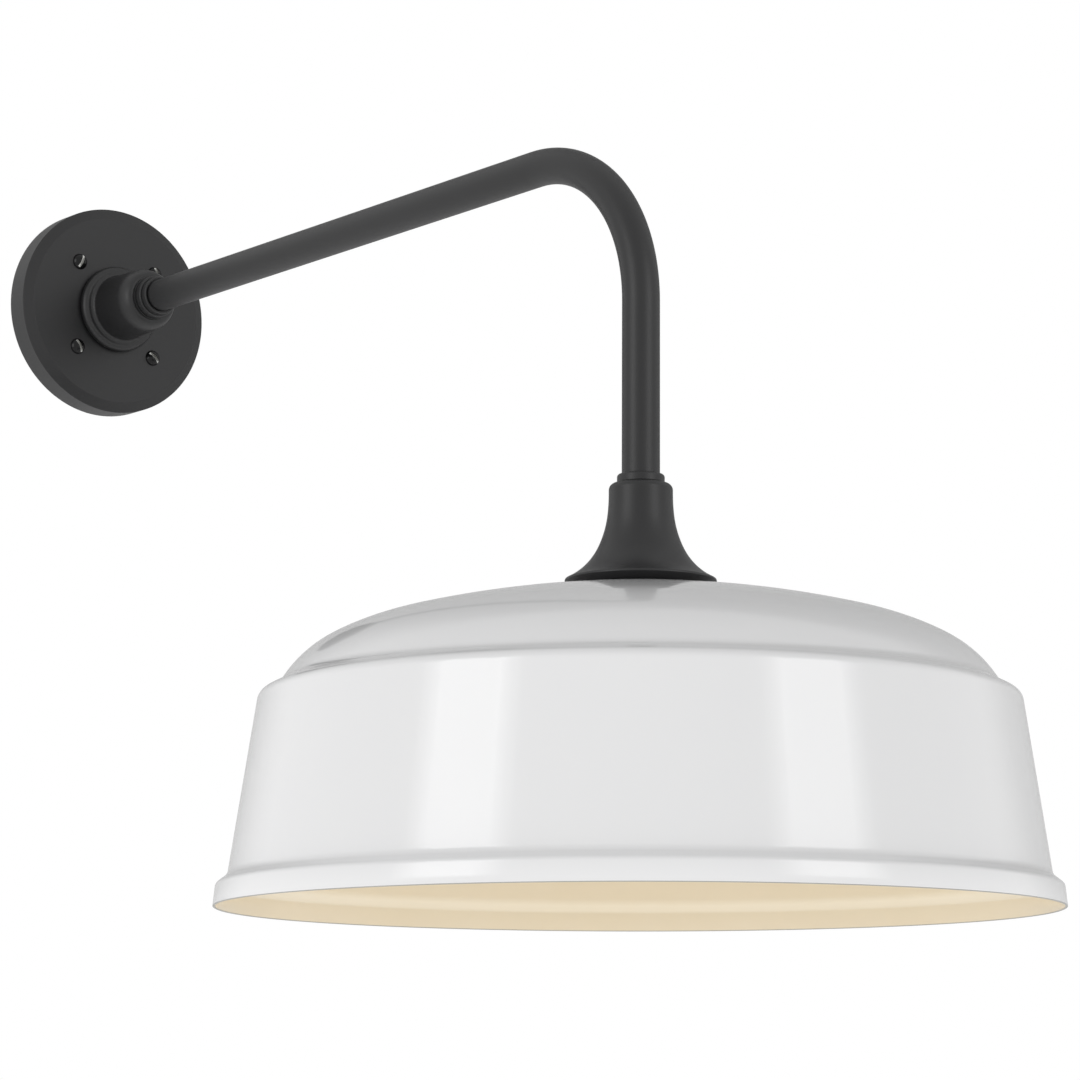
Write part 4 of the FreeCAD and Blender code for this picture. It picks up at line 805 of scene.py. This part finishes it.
@dataclass
class Hub:
    """Cast hub: a bead on the plate that runs into a tapering barrel, and an oval nose under the collar."""

    front: float = 73.0
    bore: float = 11.8
    bead_radius: float = 32.3
    bead_round: float = 4.2
    bead_span: Point = (-64.8, 92.0)
    bead_steps: int = 28
    bead_fillet: float = 2.9
    barrel_foot: Point = (24.54, 29.38)
    barrel_end_radius: float = 23.4
    nose_length: float = 13.0
    nose_end_radius: float = 17.0
    nose_steps: int = 12
    screw_depth: float = 54.0
    segments: int = 128

    def build(self, bench: Bench) -> None:
        """Make the hub in place of its CAD node, with the hole for its grub screw.

        Args:
            bench: The bench.
        """
        middle = self.bead_radius - self.bead_round
        foot, crown = self.bead_span
        centre = PLATE_FACE - self.bead_round * sin(radians(foot))
        corners: list[Corner] = [(self.bore, PLATE_FACE, 0.0)]
        for k in range(self.bead_steps + 1):
            turn = radians(foot + (crown - foot) * k / self.bead_steps)
            radius = middle + self.bead_round * cos(turn)
            corners.append((radius, centre + self.bead_round * sin(turn), 0.0))
        corners.append(self.barrel_foot + (self.bead_fillet,))
        for k in range(self.nose_steps + 1):
            turn = radians(90 * k / self.nose_steps)
            radius = self.nose_end_radius + (self.barrel_end_radius - self.nose_end_radius) * cos(turn)
            corners.append((radius, self.front - self.nose_length * (1 - sin(turn)), 0.0))
        corners.append((self.bore, self.front, 0.0))
        mesh = turned_mesh("hub", rounded(corners), Place.WALL, self.segments)
        upwards = Matrix.Translation((0, -self.screw_depth * MM, 0)) @ Matrix.Rotation(-pi / 2, 4, "X")
        mesh = drilled(mesh, "hub_set_screw", upwards)
        bench.put("wall_hub_cast", mesh, (POWDER_COAT,), "wall_hub")


# Bell


@dataclass
class Bell:
    """Cast bell that carries the shade: a neck, a hollow flare of three tangent arcs and a thin lip."""

    neck: float = 19.6
    top: float = 258.8
    neck_length: float = 6.8
    shoulder_round: float = 4.2
    arcs: tuple[Point, Point, Point] = ((110.0, 7.0), (63.0, 25.6), (41.0, 65.7))
    arc_step: float = 1.6
    arc_points: int = 4
    lip: float = 1.2
    lip_round: float = 1.1
    edge_round: float = 0.25
    seat: Point = (40.4, 194.6)
    seat_width: float = 8.0
    core: tuple[Point, ...] = ((32.4, 198.2), (28.0, 205.0), (21.5, 216.0), (14.0, 216.0), (14.0, 194.6),
                               (8.6, 194.6), (8.6, 216.0), (7.5, 216.0), (7.5, 230.0), (11.8, 230.0))
    screw_height: float = 246.0
    segments: int = 192

    def flare(self) -> list[Point]:
        """Sample the flare from the neck down to the lip.

        Returns:
            Radius and height of each point.
        """
        start = self.top - self.neck_length
        line = arc_line(self.arcs, self.arc_step, self.arc_points)
        return [(self.neck, start)] + [(self.neck + aside, start - on) for on, aside, _ in line]

    def build(self, bench: Bench) -> None:
        """Make the bell in place of its CAD node, with the hole for its grub screw.

        Args:
            bench: The bench.
        """
        flare = self.flare()
        rim = flare[-1]
        seat_end = (self.seat[0] - self.seat_width, self.seat[1])
        corners = [(self.core[-1][0], self.top, 0.0), (self.neck, self.top, self.shoulder_round)]
        corners += [point + (0.0,) for point in flare[:-1]]
        corners += [rim + (self.lip_round,), (rim[0], rim[1] - self.lip, self.edge_round)]
        corners += [self.seat + (self.edge_round,)]
        corners += [point + (0.0,) for point in (seat_end, *self.core)]
        mesh = turned_mesh("bell", rounded(corners), Place.SHADE, self.segments)
        at_neck = Matrix.Translation((0, -WALL_TO_AXIS * MM, (self.screw_height - ARM_OVER_RIM) * MM))
        mesh = drilled(mesh, "bell_set_screw", at_neck @ Matrix.Rotation(pi, 4, "X"))
        bench.put("fitter_bell_cast", mesh, (POWDER_COAT,), "fitter_bell")


# Plate screws


@dataclass
class PlateScrews:
    """Four slotted round-head screws in a ring round the hub, each stopped at its own angle."""

    ring: float = 46.0
    first_angle: float = 45.0
    back: float = 0.4
    head_radius: float = 6.0
    head_height: float = 4.4
    head_steps: int = 16
    shank_radius: float = 3.0
    slot_width: float = 1.8
    slot_depth: float = 2.3
    slot_over: float = 1.0
    slot_reach: float = 0.6
    edge_round: float = 0.35
    edge_lean: float = 0.35
    slot_angles: tuple[float, ...] = (-78.0, 68.0, -62.0, -42.0)
    squareness: float = 0.99
    segments: int = 64

    def blank(self) -> Mesh:
        """Turn one screw, its slot still uncut, on its own axis.

        Returns:
            The screw's mesh.
        """
        bend = (self.head_radius**2 + self.head_height**2) / (2 * self.head_height)
        span = asin(self.head_radius / bend)
        crown = PLATE_FACE + self.head_height
        turns = [span * k / self.head_steps for k in range(self.head_steps)]
        outline = [(bend * sin(t), crown - bend * (1 - cos(t))) for t in turns]
        outline += [(self.head_radius - self.edge_round * self.edge_lean, PLATE_FACE + self.edge_round),
                    (self.head_radius, PLATE_FACE), (self.shank_radius, PLATE_FACE),
                    (self.shank_radius, self.back), (0.0, self.back)]
        return turned_mesh("screw_blank", outline, Place.WALL, self.segments)

    def spot(self, turn: float) -> Vector:
        """Give the place of the screw at an angle round the plate."""
        return Vector((self.ring * MM * cos(turn), 0, self.ring * MM * sin(turn)))

    def in_slot(self, face: MeshPolygon, turns: Sequence[float]) -> bool:
        """Say whether a face is a wall or the floor of a slot.

        Args:
            face: The face of the finished screws.
            turns: The angle of each screw round the plate.

        Returns:
            True for the slots' own faces.
        """
        floor = -(PLATE_FACE + self.head_height - self.slot_depth) * MM
        if face.center.y > floor + self.edge_round * MM:
            return False
        for turn, angle in zip(turns, self.slot_angles):
            away = face.center - self.spot(turn)
            away.y = 0
            if away.length > (self.head_radius + self.slot_over) * MM:
                continue
            across = Vector((-sin(radians(angle)), 0, cos(radians(angle))))
            is_wall = abs(face.normal.dot(across)) > self.squareness
            is_low = abs(face.center.y - floor) < self.edge_round * MM
            is_floor = is_low and face.normal.y < -self.squareness
            near = abs(away.dot(across)) < self.slot_width * self.slot_reach * MM
            return near and (is_wall or is_floor)
        return False

    def build(self, bench: Bench) -> None:
        """Cut the slots and set the screws round the plate, in place of their CAD node.

        Args:
            bench: The bench.
        """
        count = len(self.slot_angles)
        turns = [radians(self.first_angle + 360 * k / count) for k in range(count)]
        spots = bpy.data.meshes.new("screw_spots")
        spots.from_pydata([tuple(self.spot(turn)) for turn in turns], [], [])
        slot_turn = spots.attributes.new("slot_turn", "FLOAT", "POINT")
        for value, angle in zip(slot_turn.data, self.slot_angles):
            value.value = -radians(angle)
        blank = show("screw_blank", self.blank())
        length = 2 * (self.head_radius + self.slot_over)
        recipe = Recipe("slotted_screws", {
            "Blank": blank,
            "Cutter Size": Vector((length * MM, 2 * self.slot_depth * MM, self.slot_width * MM)),
            "Cutter Place": Vector((0, -(PLATE_FACE + self.head_height) * MM, 0)),
            "Material": bench.paints.of(SCREW_PAINT)})
        solid = recipe.add("GeometryNodeObjectInfo", {"Object": recipe.of("Blank")})
        cutter = recipe.add("GeometryNodeMeshCube", {"Size": recipe.of("Cutter Size")})
        placed = recipe.add("GeometryNodeTransform", {
            "Geometry": cutter, "Translation": recipe.of("Cutter Place")})
        cut = recipe.add("GeometryNodeMeshBoolean", {
            "Mesh 1": solid.outputs["Geometry"], "Mesh 2": placed}, operation="DIFFERENCE", solver="EXACT")
        turn = recipe.add("GeometryNodeInputNamedAttribute", {"Name": "slot_turn"}, data_type="FLOAT")
        angle = recipe.add("ShaderNodeCombineXYZ", {"Y": turn})
        screws = recipe.add("GeometryNodeInstanceOnPoints", {
            "Points": recipe.of("Geometry"), "Instance": cut, "Rotation": angle})
        mesh = recipe.run(screws, spots)
        bpy.data.objects.remove(blank)
        # The slots' walls and floors take the bare steel, which paints a glint along each slot as well as
        # rubbed paint.
        for face in mesh.polygons:
            face.material_index = int(self.in_slot(face, turns))
        bench.put("plate_screws_slotted", mesh, (SCREW_PAINT, SLOT_GLINT_STEEL), "plate_screws")


# Rolled threads of the lamp and its holder


@dataclass
class RolledThread:
    """Round thread pressed into thin sheet, one turn in 3.629 mm as on every lamp of this size.

    It runs from low to high, fades in and out over fade, and leaves alone what lies inside guard. Above
    it the sheet stays whole, or at the thread's root where top_at_root is 1. Each row of sums is a
    result, its operation and two operands, which are numbers, inputs of the tree or results before it.
    """

    low: float
    high: float
    guard: float
    top_at_root: float
    pitch: float = 25.4 / 7
    depth: float = 0.8
    fade: float = 1.5
    grid: float = 0.3
    segments: int = 120
    sums: tuple[tuple[str, str, str | float, str | float], ...] = (
        ("turn", "ARCTAN2", "y", "x"),
        ("climb", "DIVIDE", "height", "Pitch"),
        ("climb", "MULTIPLY", "climb", 2 * pi),
        ("wave", "SUBTRACT", "climb", "turn"),
        ("wave", "COSINE", "wave", 0.0),
        ("groove", "SUBTRACT", 1.0, "wave"),
        ("groove", "MULTIPLY", "groove", 0.5),
        ("foot", "SUBTRACT", "height", "Low"),
        ("foot", "DIVIDE", "foot", "Fade"),
        ("foot", "MAXIMUM", "foot", 0.0),
        ("foot", "MINIMUM", "foot", 1.0),
        ("head", "SUBTRACT", "height", "High"),
        ("head", "DIVIDE", "head", "Fade"),
        ("head", "ADD", "head", 1.0),
        ("head", "MAXIMUM", "head", 0.0),
        ("head", "MINIMUM", "head", 1.0),
        ("below head", "SUBTRACT", 1.0, "head"),
        ("share", "MULTIPLY", "groove", "foot"),
        ("share", "MULTIPLY", "share", "below head"),
        ("top", "MULTIPLY", "head", "Top At Root"),
        ("share", "ADD", "share", "top"),
        ("is sheet", "GREATER_THAN", "reach", "Guard Radius"),
        ("share", "MULTIPLY", "share", "is sheet"),
        ("push", "MULTIPLY", "share", "Depth"),
        ("push", "MULTIPLY", "push", -1.0),
    )

    def press(self, name: str, outline: Sequence[Point], material: Material) -> Mesh:
        """Turn a sheet piece about the shade's axis and press the thread into it.

        Args:
            name: The tree's name.
            outline: Radius and height of the plain piece.
            material: Its material.

        Returns:
            The threaded mesh.
        """
        start = turned_mesh(name, fine(outline, self.grid), Place.SHADE, self.segments)
        recipe = Recipe(name, {
            "Axis": Vector((0, -WALL_TO_AXIS * MM, 0)), "Pitch": self.pitch * MM,
            "Depth": self.depth * MM, "Low": (self.low - ARM_OVER_RIM) * MM,
            "High": (self.high - ARM_OVER_RIM) * MM, "Fade": self.fade * MM,
            "Guard Radius": self.guard * MM, "Top At Root": self.top_at_root, "Material": material})
        place = recipe.add("GeometryNodeInputPosition")
        arm = recipe.add("ShaderNodeVectorMath", {0: place, 1: recipe.of("Axis")}, operation="SUBTRACT")
        parts = recipe.add("ShaderNodeSeparateXYZ", {0: arm}).outputs
        flat = recipe.add("ShaderNodeCombineXYZ", {"X": parts["X"], "Y": parts["Y"]})
        reach = recipe.add("ShaderNodeVectorMath", {0: flat}, operation="LENGTH")
        known: dict[str | float, object] = {label: recipe.of(label) for label in recipe.inputs}
        known |= {"x": parts["X"], "y": parts["Y"], "height": parts["Z"], "reach": reach}
        for result, operation, first, second in self.sums:
            operands = {0: known.get(first, first), 1: known.get(second, second)}
            known[result] = recipe.add("ShaderNodeMath", operands, operation=operation)
        way = recipe.add("ShaderNodeVectorMath", {0: flat}, operation="NORMALIZE")
        move = recipe.add("ShaderNodeVectorMath", {0: way, "Scale": known["push"]}, operation="SCALE")
        pressed = recipe.add("GeometryNodeSetPosition", {"Geometry": recipe.of("Geometry"), "Offset": move})
        return recipe.run(pressed, start)


@dataclass
class Lampholder:
    """Nickel-plated screw shell, its thread in step with the lamp's, riveted to the porcelain."""

    bore: float = 13.3
    sheet: float = 0.5
    foot: float = 123.5
    roof: float = 153.4
    window: float = 7.4
    rivet_x: float = 9.4
    rivet_radius: float = 1.2
    rivet_top: float = 159.9
    rivet_sides: int = 32
    thread: RolledThread = field(default_factory=lambda: RolledThread(136.0, 152.0, 12.9, 0.0))

    def build(self, bench: Bench) -> None:
        """Make the shell in place of its CAD node.

        Args:
            bench: The bench.
        """
        outer, ceiling = self.bore + self.sheet, self.roof - self.sheet
        outline = [(self.bore, self.foot), (outer, self.foot), (outer, self.roof), (self.window, self.roof),
                   (self.window, ceiling), (self.bore, ceiling)]
        mesh = self.thread.press("threaded_shell", outline, bench.paints.of(NICKEL))
        pin = [(0.0, ceiling), (self.rivet_radius, ceiling), (self.rivet_radius, self.rivet_top),
               (0.0, self.rivet_top)]
        rivet = turned_mesh("shell_rivet", pin, Place.SHADE, self.rivet_sides)
        rivet.transform(Matrix.Translation((self.rivet_x * MM, 0, 0)))
        work = bmesh.new()
        work.from_mesh(mesh)
        work.from_mesh(rivet)
        work.to_mesh(mesh)
        work.free()
        bench.put("socket_shell_threaded", mesh, (NICKEL,), "socket_shell")


@dataclass
class LampBase:
    """Aluminium screw base of the lamp."""

    radius: float = 13.0
    sheet: float = 0.4
    foot: float = 128.9
    top: float = 147.9
    shoulder: float = 11.6
    window: float = 5.8
    thread: RolledThread = field(default_factory=lambda: RolledThread(134.3, 147.5, 11.9, 1.0))

    def build(self, bench: Bench) -> None:
        """Make the base in place of its CAD node.

        Args:
            bench: The bench.
        """
        inner, high = self.radius - self.sheet, self.top - self.sheet
        outline = [(inner, self.foot), (self.radius, self.foot), (self.radius, high),
                   (self.shoulder, self.top), (self.window, self.top), (self.window, high),
                   (inner - self.sheet, high), (inner, high - self.sheet)]
        mesh = self.thread.press("threaded_base", outline, bench.paints.of(ALUMINIUM))
        bench.put("bulb_base_threaded", mesh, (ALUMINIUM,), "bulb_base")


# Studio


@dataclass
class Studio:
    """Camera, lamps, backdrop and floor, in metres and degrees.

    A softbox gives its name, its azimuth to the right of the camera and how bright it looks, where 1 is
    the white background. A strip gives its name, its azimuth on the softbox, its width as an angle and
    its share of the softbox's light. The rear card reaches from the left to the right and from the
    lowest to the highest angle seen from the shade, and card_feather is how much of its width and height
    fades out on each side.
    """

    eye: Corner = (-1.3307, -2.2598, -0.5998)
    heading: float = 39.805
    pitch: float = 9.357
    lens_mm: float = 116.18
    sensor_mm: float = 36.0
    shift: float = -0.1108
    clips: Point = (0.05, 100.0)
    softboxes: tuple[tuple[str, float, float], ...] = (
        ("left_softbox", -49.5, 2.3), ("right_softbox", 50.5, 2.05))
    strips: tuple[tuple[str, float, float, float], ...] = (
        ("edge_a", -13.5, 3.0, 0.33), ("shoulder_a", -10.5, 3.0, 0.66), ("middle", 0.0, 18.0, 1.0),
        ("shoulder_b", 10.5, 3.0, 0.66), ("edge_b", 13.5, 3.0, 0.33))
    softbox_span: Point = (-4.0, 34.0)
    softbox_distance: float = 3.0
    softbox_aim_mm: float = 80.0
    zenith: float = 0.26
    horizon: float = 0.51
    nadir: float = 0.55
    zenith_height: float = 0.9
    side_lean: float = 0.2
    side_gain: float = 0.5
    floor_depth: float = 4.5
    floor_size: float = 40.0
    floor_glow: float = 0.7
    floor_colour: str = "#efefef"
    card_distance: float = 3.0
    card_reach: tuple[float, float, float, float] = (-57.0, 62.0, -50.0, 74.0)
    card_feather: Point = (0.32, 0.34)
    card_colour: str = "#d6d6d6"

    def aim(self, thing: Object, place: Sequence[float], gaze: Vector) -> None:
        """Stand a camera or lamp somewhere and turn it.

        Args:
            thing: The camera or lamp.
            place: Where it stands.
            gaze: The way that it looks.
        """
        thing.location = place
        thing.rotation_mode = "QUATERNION"
        thing.rotation_quaternion = gaze.to_track_quat("-Z", "Y")

    def camera(self) -> None:
        """Stand the camera where the photograph was taken from."""
        data = bpy.data.cameras.new("camera")
        data.lens, data.sensor_width, data.shift_x = self.lens_mm, self.sensor_mm, self.shift
        data.clip_start, data.clip_end = self.clips
        turn, rise = radians(self.heading), radians(self.pitch)
        gaze = Vector((sin(turn) * cos(rise), cos(turn) * cos(rise), sin(rise)))
        camera = show("camera", data)
        self.aim(camera, self.eye, gaze)
        bpy.context.scene.camera = camera

    def softbox(self, name: str, azimuth: float, width: float, radiance: float) -> None:
        """Hang a tall strip of light that faces the shade.

        Args:
            name: The lamp's name.
            azimuth: Degrees to the right of the camera, seen from the shade.
            width: Its width as an angle in degrees.
            radiance: How bright it looks, where 1 is the white background.
        """
        low, high = self.softbox_span
        data = bpy.data.lights.new(name, "AREA")
        data.shape = "RECTANGLE"
        data.size = 2 * self.softbox_distance * tan(radians(width / 2))
        data.size_y = 2 * self.softbox_distance * tan(radians((high - low) / 2))
        data.energy = radiance * pi * data.size * data.size_y
        target = Vector((0, -WALL_TO_AXIS, self.softbox_aim_mm - ARM_OVER_RIM)) * MM
        turn, rise = radians(self.heading - azimuth), radians((low + high) / 2)
        way = Vector((-sin(turn) * cos(rise), -cos(turn) * cos(rise), sin(rise)))
        self.aim(show(name, data), target + way * self.softbox_distance, -way)

    def world(self) -> None:
        """Light the scene softly from all round, brightest at its left, before plain white paper.

        The eye, reflections and what is seen through glass get the paper, a strength of 1.
        """
        world = bpy.data.worlds.new("studio")
        bpy.context.scene.world = world
        tree = empty_tree(world)
        way = add_node(tree, "ShaderNodeTexCoord").outputs["Generated"]
        height = add_node(tree, "ShaderNodeSeparateXYZ", {0: way}).outputs["Z"]
        up = add_node(tree, "ShaderNodeMapRange", {
            "Value": height, "From Min": 0.0, "From Max": self.zenith_height,
            "To Min": self.horizon, "To Max": self.zenith})
        down = add_node(tree, "ShaderNodeMapRange", {
            "Value": height, "From Min": -self.zenith_height, "From Max": 0.0,
            "To Min": self.nadir, "To Max": self.horizon})
        above = add_node(tree, "ShaderNodeMath", {0: height, 1: 0.0}, operation="GREATER_THAN")
        level = add_node(tree, "ShaderNodeMix", {"Factor": above, "A": down, "B": up}, data_type="FLOAT")
        turn = radians(self.heading)
        side = add_node(tree, "ShaderNodeVectorMath", {
            0: way, 1: (-cos(turn), sin(turn), 0)}, operation="DOT_PRODUCT")
        gain = add_node(tree, "ShaderNodeMath", {
            0: side, 1: self.side_gain, 2: self.side_lean}, operation="MULTIPLY_ADD")
        lean = add_node(tree, "ShaderNodeMath", {0: side, 1: gain, 2: 1.0}, operation="MULTIPLY_ADD")
        strength = add_node(tree, "ShaderNodeMath", {0: level, 1: lean}, operation="MULTIPLY")
        light = add_node(tree, "ShaderNodeBackground", {"Color": WHITE, "Strength": strength})
        paper = add_node(tree, "ShaderNodeBackground", {"Color": WHITE, "Strength": 1.0})
        rays = add_node(tree, "ShaderNodeLightPath").outputs
        seen = rays["Is Camera Ray"]
        for kind in ("Is Glossy Ray", "Is Transmission Ray"):
            seen = add_node(tree, "ShaderNodeMath", {0: seen, 1: rays[kind]}, operation="MAXIMUM")
        mix = add_node(tree, "ShaderNodeMixShader", {0: seen, 1: light, 2: paper})
        add_node(tree, "ShaderNodeOutputWorld", {"Surface": mix})

    def board(self, name: str, corners: Sequence[Corner], material: Material) -> Object:
        """Set up a flat board, which isn't part of the light.

        Args:
            name: Its name.
            corners: Its four corners.
            material: Its material.

        Returns:
            The board.
        """
        mesh = bpy.data.meshes.new(name)
        mesh.from_pydata(corners, [], [(0, 1, 2, 3)])
        mesh.materials.append(material)
        board = show(name, mesh)
        return board

    def floor(self) -> None:
        """Lay a pale floor well below the light, which hangs on a wall."""
        material = bpy.data.materials.new("pale_floor")
        tree = empty_tree(material)
        paint = add_node(tree, "ShaderNodeBsdfDiffuse", {"Color": linear(self.floor_colour)})
        glow = add_node(tree, "ShaderNodeEmission", {"Color": WHITE, "Strength": self.floor_glow})
        both = add_node(tree, "ShaderNodeAddShader", {0: paint, 1: glow})
        add_node(tree, "ShaderNodeOutputMaterial", {"Surface": both})
        half = self.floor_size / 2
        spots = ((-half, -half), (half, -half), (half, half), (-half, half))
        self.board("floor", [(x, y, -self.floor_depth) for x, y in spots], material)

    def card(self) -> None:
        """Stand a sheet of pale paper with soft edges behind the light, out of the camera's sight."""
        material = bpy.data.materials.new("rear_card")
        tree = empty_tree(material)
        spot = add_node(tree, "ShaderNodeTexCoord").outputs["Generated"]
        place = add_node(tree, "ShaderNodeSeparateXYZ", {0: spot}).outputs
        fades = []
        for axis, feather in zip("XZ", self.card_feather):
            middle = add_node(tree, "ShaderNodeMath", {0: place[axis], 1: 0.5}, operation="SUBTRACT")
            reach = add_node(tree, "ShaderNodeMath", {0: middle}, operation="ABSOLUTE")
            fades.append(add_node(tree, "ShaderNodeMapRange", {
                "Value": reach, "From Min": 0.5 - feather, "From Max": 0.5, "To Min": 1.0, "To Max": 0.0},
                interpolation_type="SMOOTHSTEP"))
        cover = add_node(tree, "ShaderNodeMath", {0: fades[0], 1: fades[1]}, operation="MULTIPLY")
        paper = add_node(tree, "ShaderNodeBsdfDiffuse", {"Color": linear(self.card_colour)})
        clear = add_node(tree, "ShaderNodeBsdfTransparent")
        soft = add_node(tree, "ShaderNodeMixShader", {0: cover, 1: clear, 2: paper})
        add_node(tree, "ShaderNodeOutputMaterial", {"Surface": soft})
        turn = radians(self.heading)
        away = Vector((sin(turn), cos(turn), 0))
        across = Vector((cos(turn), -sin(turn), 0))
        centre = Vector((0, -WALL_TO_AXIS * MM, -ARM_OVER_RIM * MM)) + away * self.card_distance
        left, right, low, high = (tan(radians(angle)) for angle in self.card_reach)
        corners = [tuple(centre + (across * x + Vector((0, 0, z))) * self.card_distance)
                   for x, z in ((left, low), (right, low), (right, high), (left, high))]
        self.board("rear_card", corners, material).visible_camera = False

    def build(self) -> None:
        """Set up everything round the light."""
        self.camera()
        self.world()
        self.floor()
        self.card()
        for name, azimuth, radiance in self.softboxes:
            for part, offset, width, share in self.strips:
                self.softbox(f"{name}_{part}", azimuth + offset, width, radiance * share)
        bpy.context.scene.view_settings.view_transform = "Standard"


def main() -> None:
    """Build the light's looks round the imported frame."""
    logging.basicConfig(level=logging.INFO, format="%(name)s: %(message)s")
    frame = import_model()
    bench = Bench(frame, Paints())
    for finish, nodes in CAD_FINISHES.items():
        for node in nodes:
            bench.dress(node, finish)
    for assembly in (Arm(), Hub(), PlateScrews(), Bell(), Shade(), Lampholder(), LampBase()):
        assembly.build(bench)
    Studio().build()


if __name__ == "__main__":
    main()
